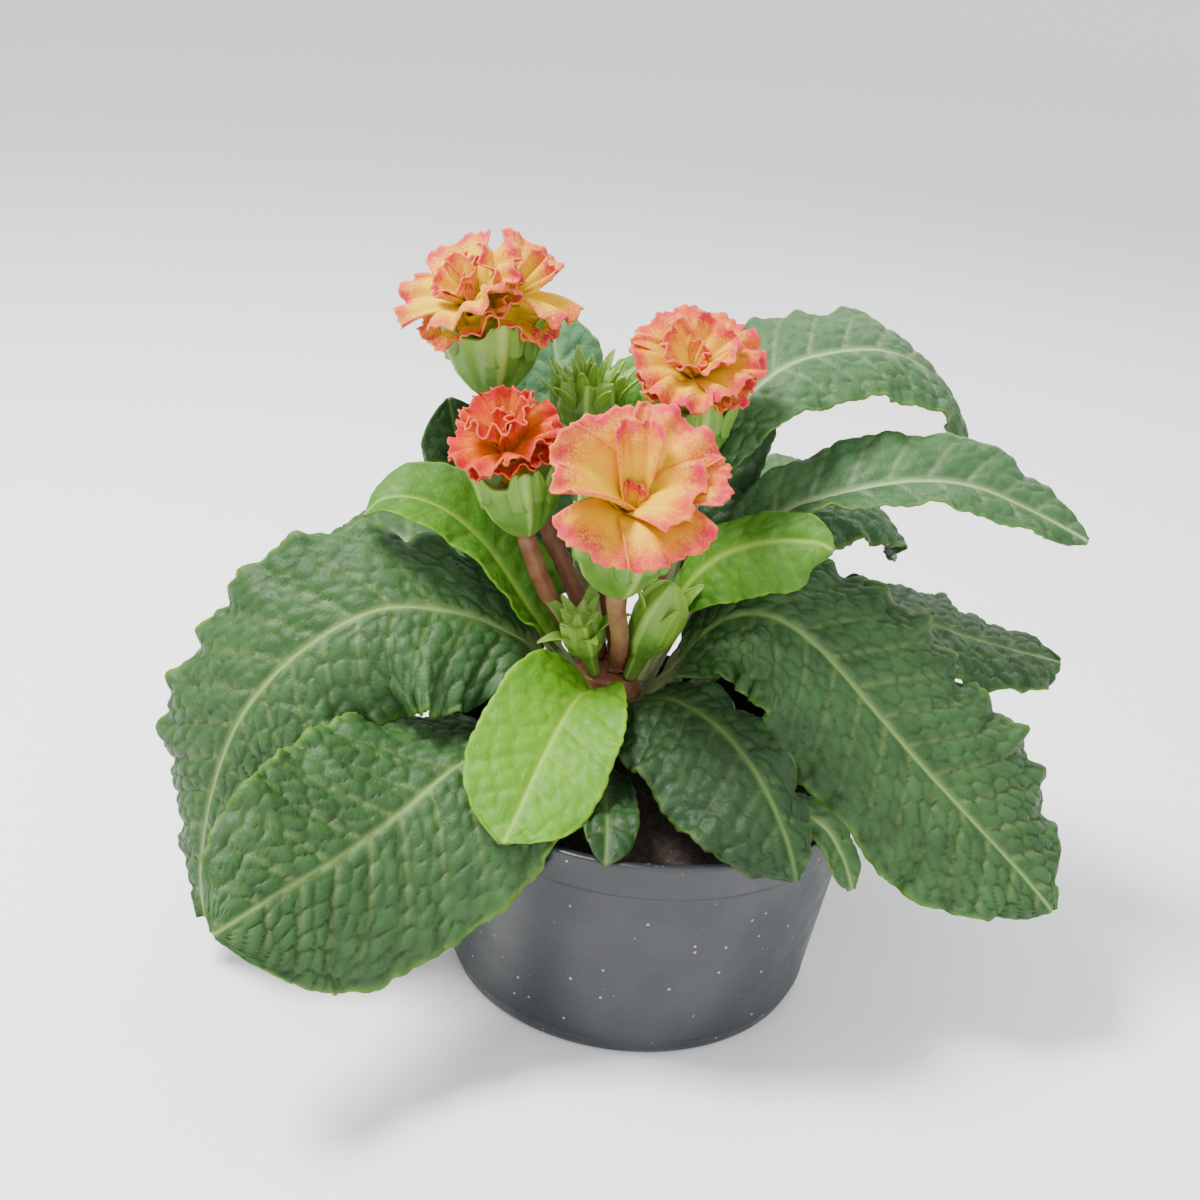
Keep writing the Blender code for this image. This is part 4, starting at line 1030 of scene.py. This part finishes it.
def pot_profile():
    rim, top, band = POT_RIM_RADIUS, POT_HEIGHT, POT_HEIGHT - POT_BAND_DROP
    lip = rim - POT_RIM_WIDTH
    inner_base, inner_top = POT_BASE_RADIUS - POT_WALL, POT_WALL_TOP_RADIUS - POT_WALL
    floor = POT_WALL + POT_FOOT
    inside = [(0.0, floor), (inner_base - 3.0, floor), (inner_base, floor + 3.0), (inner_top, band)]
    slope = [(lip + out, top - down) for out, down in ((-0.2, 2.6), (0.0, 2.2), (0.5, 1.2), (0.9, 0.9))]
    edge = [(rim - inset, top - down) for inset, down in RIM_EDGE]
    outside = [
        (POT_BAND_RADIUS + 0.1, band + 0.5),
        (POT_BAND_RADIUS - 0.1, band),
        (POT_BAND_RADIUS - 0.5, band - 0.4),
        (POT_WALL_TOP_RADIUS, band - 0.9),
        (POT_WALL_TOP_RADIUS - 0.2, band - 2.0),
    ]
    ring = [(POT_BASE_RADIUS + out, height) for out, height in LOWER_RING]
    return inside + slope + edge + outside + ring + [(0.0, 0.0)]


def soil_profile():
    inner_base = POT_BASE_RADIUS - POT_WALL - SEAT_GAP
    inner_top = POT_WALL_TOP_RADIUS - POT_WALL - SEAT_GAP
    floor = POT_WALL + POT_FOOT + SEAT_GAP
    slope = (inner_top - inner_base) / (POT_HEIGHT - POT_BAND_DROP - floor - 3.0)
    top_radius = inner_base + slope * (SOIL_TOP - 3 - floor - 3.0)
    radii = [0, 12, 24, 40, 52, top_radius]
    heights = SOIL_TOP + np.array([SOIL_MOUND, SOIL_MOUND, 0.6 * SOIL_MOUND, 0, -1.6, -3])
    surface = [(r, float(np.interp(r, radii, heights))) for r in np.linspace(0.0, top_radius, 60)]
    return surface + [(inner_base, floor + 3.0), (inner_base - 3.0, floor), (0.0, floor)]


def soil_crumbs(radius, angle):
    """Crumbs of peat on the top of the soil, as bumps of the surface."""
    x = radius * np.cos(angle)
    y = radius * np.sin(angle)
    near, second = cell_distances(x, y, CRUMB_SIZE, np.random.default_rng(CRUMB_SEED))
    return (0.9 * step(second - near, 0.0, 1.0) - 0.7) * (radius > 1.0)


def look_from_photo():
    """The camera stands before the plant and looks down on it, held a little askew."""
    pitch, tilt = math.radians(CAMERA_PITCH), math.radians(CAMERA_TILT)
    target = np.array(CAMERA_TARGET)
    back = np.array([0.0, -math.cos(pitch), math.sin(pitch)])
    right = np.array([1.0, 0.0, 0.0])
    up = np.cross(back, right)
    turned_right = math.cos(tilt) * right + math.sin(tilt) * up
    turned_up = math.cos(tilt) * up - math.sin(tilt) * right
    camera = bpy.data.objects.new("camera", bpy.data.cameras.new("camera"))
    camera.data.lens = CAMERA_LENS
    camera.data.sensor_width = 36.0
    place = (target + back * CAMERA_DISTANCE) * MM
    rows = [[*axis, value] for axis, value in zip(np.stack([turned_right, turned_up, back], -1), place)]
    camera.matrix_world = Matrix([*rows, [0.0, 0.0, 0.0, 1.0]])
    show(camera)
    bpy.context.scene.camera = camera


def soft_lamp(name, place, size, power, colour):
    lamp = bpy.data.objects.new(name, bpy.data.lights.new(name, "AREA"))
    lamp.data.shape = "DISK"
    lamp.data.size = size
    lamp.data.energy = power
    lamp.data.color = colour
    lamp.location = place
    lamp.rotation_euler = (lamp.location - Vector(LAMP_TARGET)).to_track_quat("Z", "Y").to_euler()
    show(lamp)


def floor_and_light():
    """A pale floor that rises all round far off, an even sky and three soft lamps."""
    shader = Shader("pale floor", 0.9)
    shader.look(Base_Color=(0.93, 0.93, 0.93))
    profile = [(0.0, 0.0), (1500.0, 0.0), (2200.0, 60.0), (2700.0, 300.0), (3000.0, 800.0), (3100.0, 1500.0)]
    floor = turned_object("floor", profile, 96, closed=False)
    show(floor)
    floor.data.materials.append(shader.material)
    world = bpy.data.worlds.new("sky")
    bpy.context.scene.world = world
    world.use_nodes = True
    sky = world.node_tree.nodes["Background"]
    sky.inputs["Color"].default_value = (0.96, 0.98, 1.0, 1.0)
    sky.inputs["Strength"].default_value = 1.2
    soft_lamp("window", (-0.45, -0.05, 0.9), 0.3, 21.0, (1.0, 0.98, 0.95))
    soft_lamp("fill", (0.35, -0.9, 0.6), 0.9, 5.0, (0.97, 0.98, 1.0))
    soft_lamp("back", (0.35, 0.7, 0.8), 0.5, 4.0, (1.0, 1.0, 1.0))


def dress_leaves():
    materials = {tone: leaf_material(tone) for tone in LEAF_COLOURS}
    for seed, (name, leaf) in enumerate(LEAVES.items()):
        tone, crinkle = TONES.get(name, ("green", 1.0))
        dress(leaf_sheet("look_" + name, leaf, crinkle, seed), name, materials[tone])


def dress_flowers():
    calyx_green, stalk_red = calyx_material(), stalk_material()

    def dress_green(obj, node):
        dress(obj, node, calyx_green)

    def dress_red(obj, node):
        dress(obj, node, stalk_red)

    for name, flower in FLOWERS.items():
        dress(petals_object("look_petals_" + name, flower), "petals_" + name, petal_material(name))
        calyx = closed_body("look_calyx_" + name, flower["foot"], flower["aim"], calyx_sections(flower))
        dress_green(calyx, "calyx_" + name)
        sepals = sepals_object("look_sepals_" + name, dict(flower, size=flower["calyx"]), CALYX_SEPALS)
        dress_green(sepals, "calyx_" + name)
        dress_red(stalk_object("look_stalk_" + name, flower), "stalk_" + name)
    for name, bud in BUDS.items():
        plain = dict(bud, tips=(bud["tips"][0], 0.35 * bud["tips"][1]))
        sections = bud_sections(plain) if name in SEPALS else closed_bud_sections(bud)
        dress_green(closed_body("look_" + name, bud["foot"], bud["aim"], sections), name)
        dress_green(sepals_object("look_sepals_" + name, bud, SEPALS.get(name, LONE_SEPALS)), name)
        if bud["stalk"]:
            dress_red(stalk_object("look_stalk_" + name, bud), "stalk_" + name)
    dress_red(turned_object("look_crown", crown_profile(), 48, CROWN_CENTRE), "crown")


def crown_profile():
    return [
        (0.0, CROWN_TOP),
        (CROWN_RADIUS - 0.8, CROWN_TOP),
        (CROWN_RADIUS - 0.2, CROWN_TOP - 0.3),
        (CROWN_RADIUS, CROWN_TOP - 0.9),
        (CROWN_RADIUS, CROWN_BOTTOM + 1),
        (CROWN_RADIUS - 1, CROWN_BOTTOM),
        (0.0, CROWN_BOTTOM),
    ]


def dress_pot():
    pot = turned_object("look_pot", pot_profile(), 128)
    dress(pot, "pot", plastic_material())
    soil = turned_object("look_soil", soil_profile(), 180, ripple=soil_crumbs)
    dress(soil, "potting_soil", soil_material())


dress_leaves()
dress_flowers()
dress_pot()
floor_and_light()
look_from_photo()
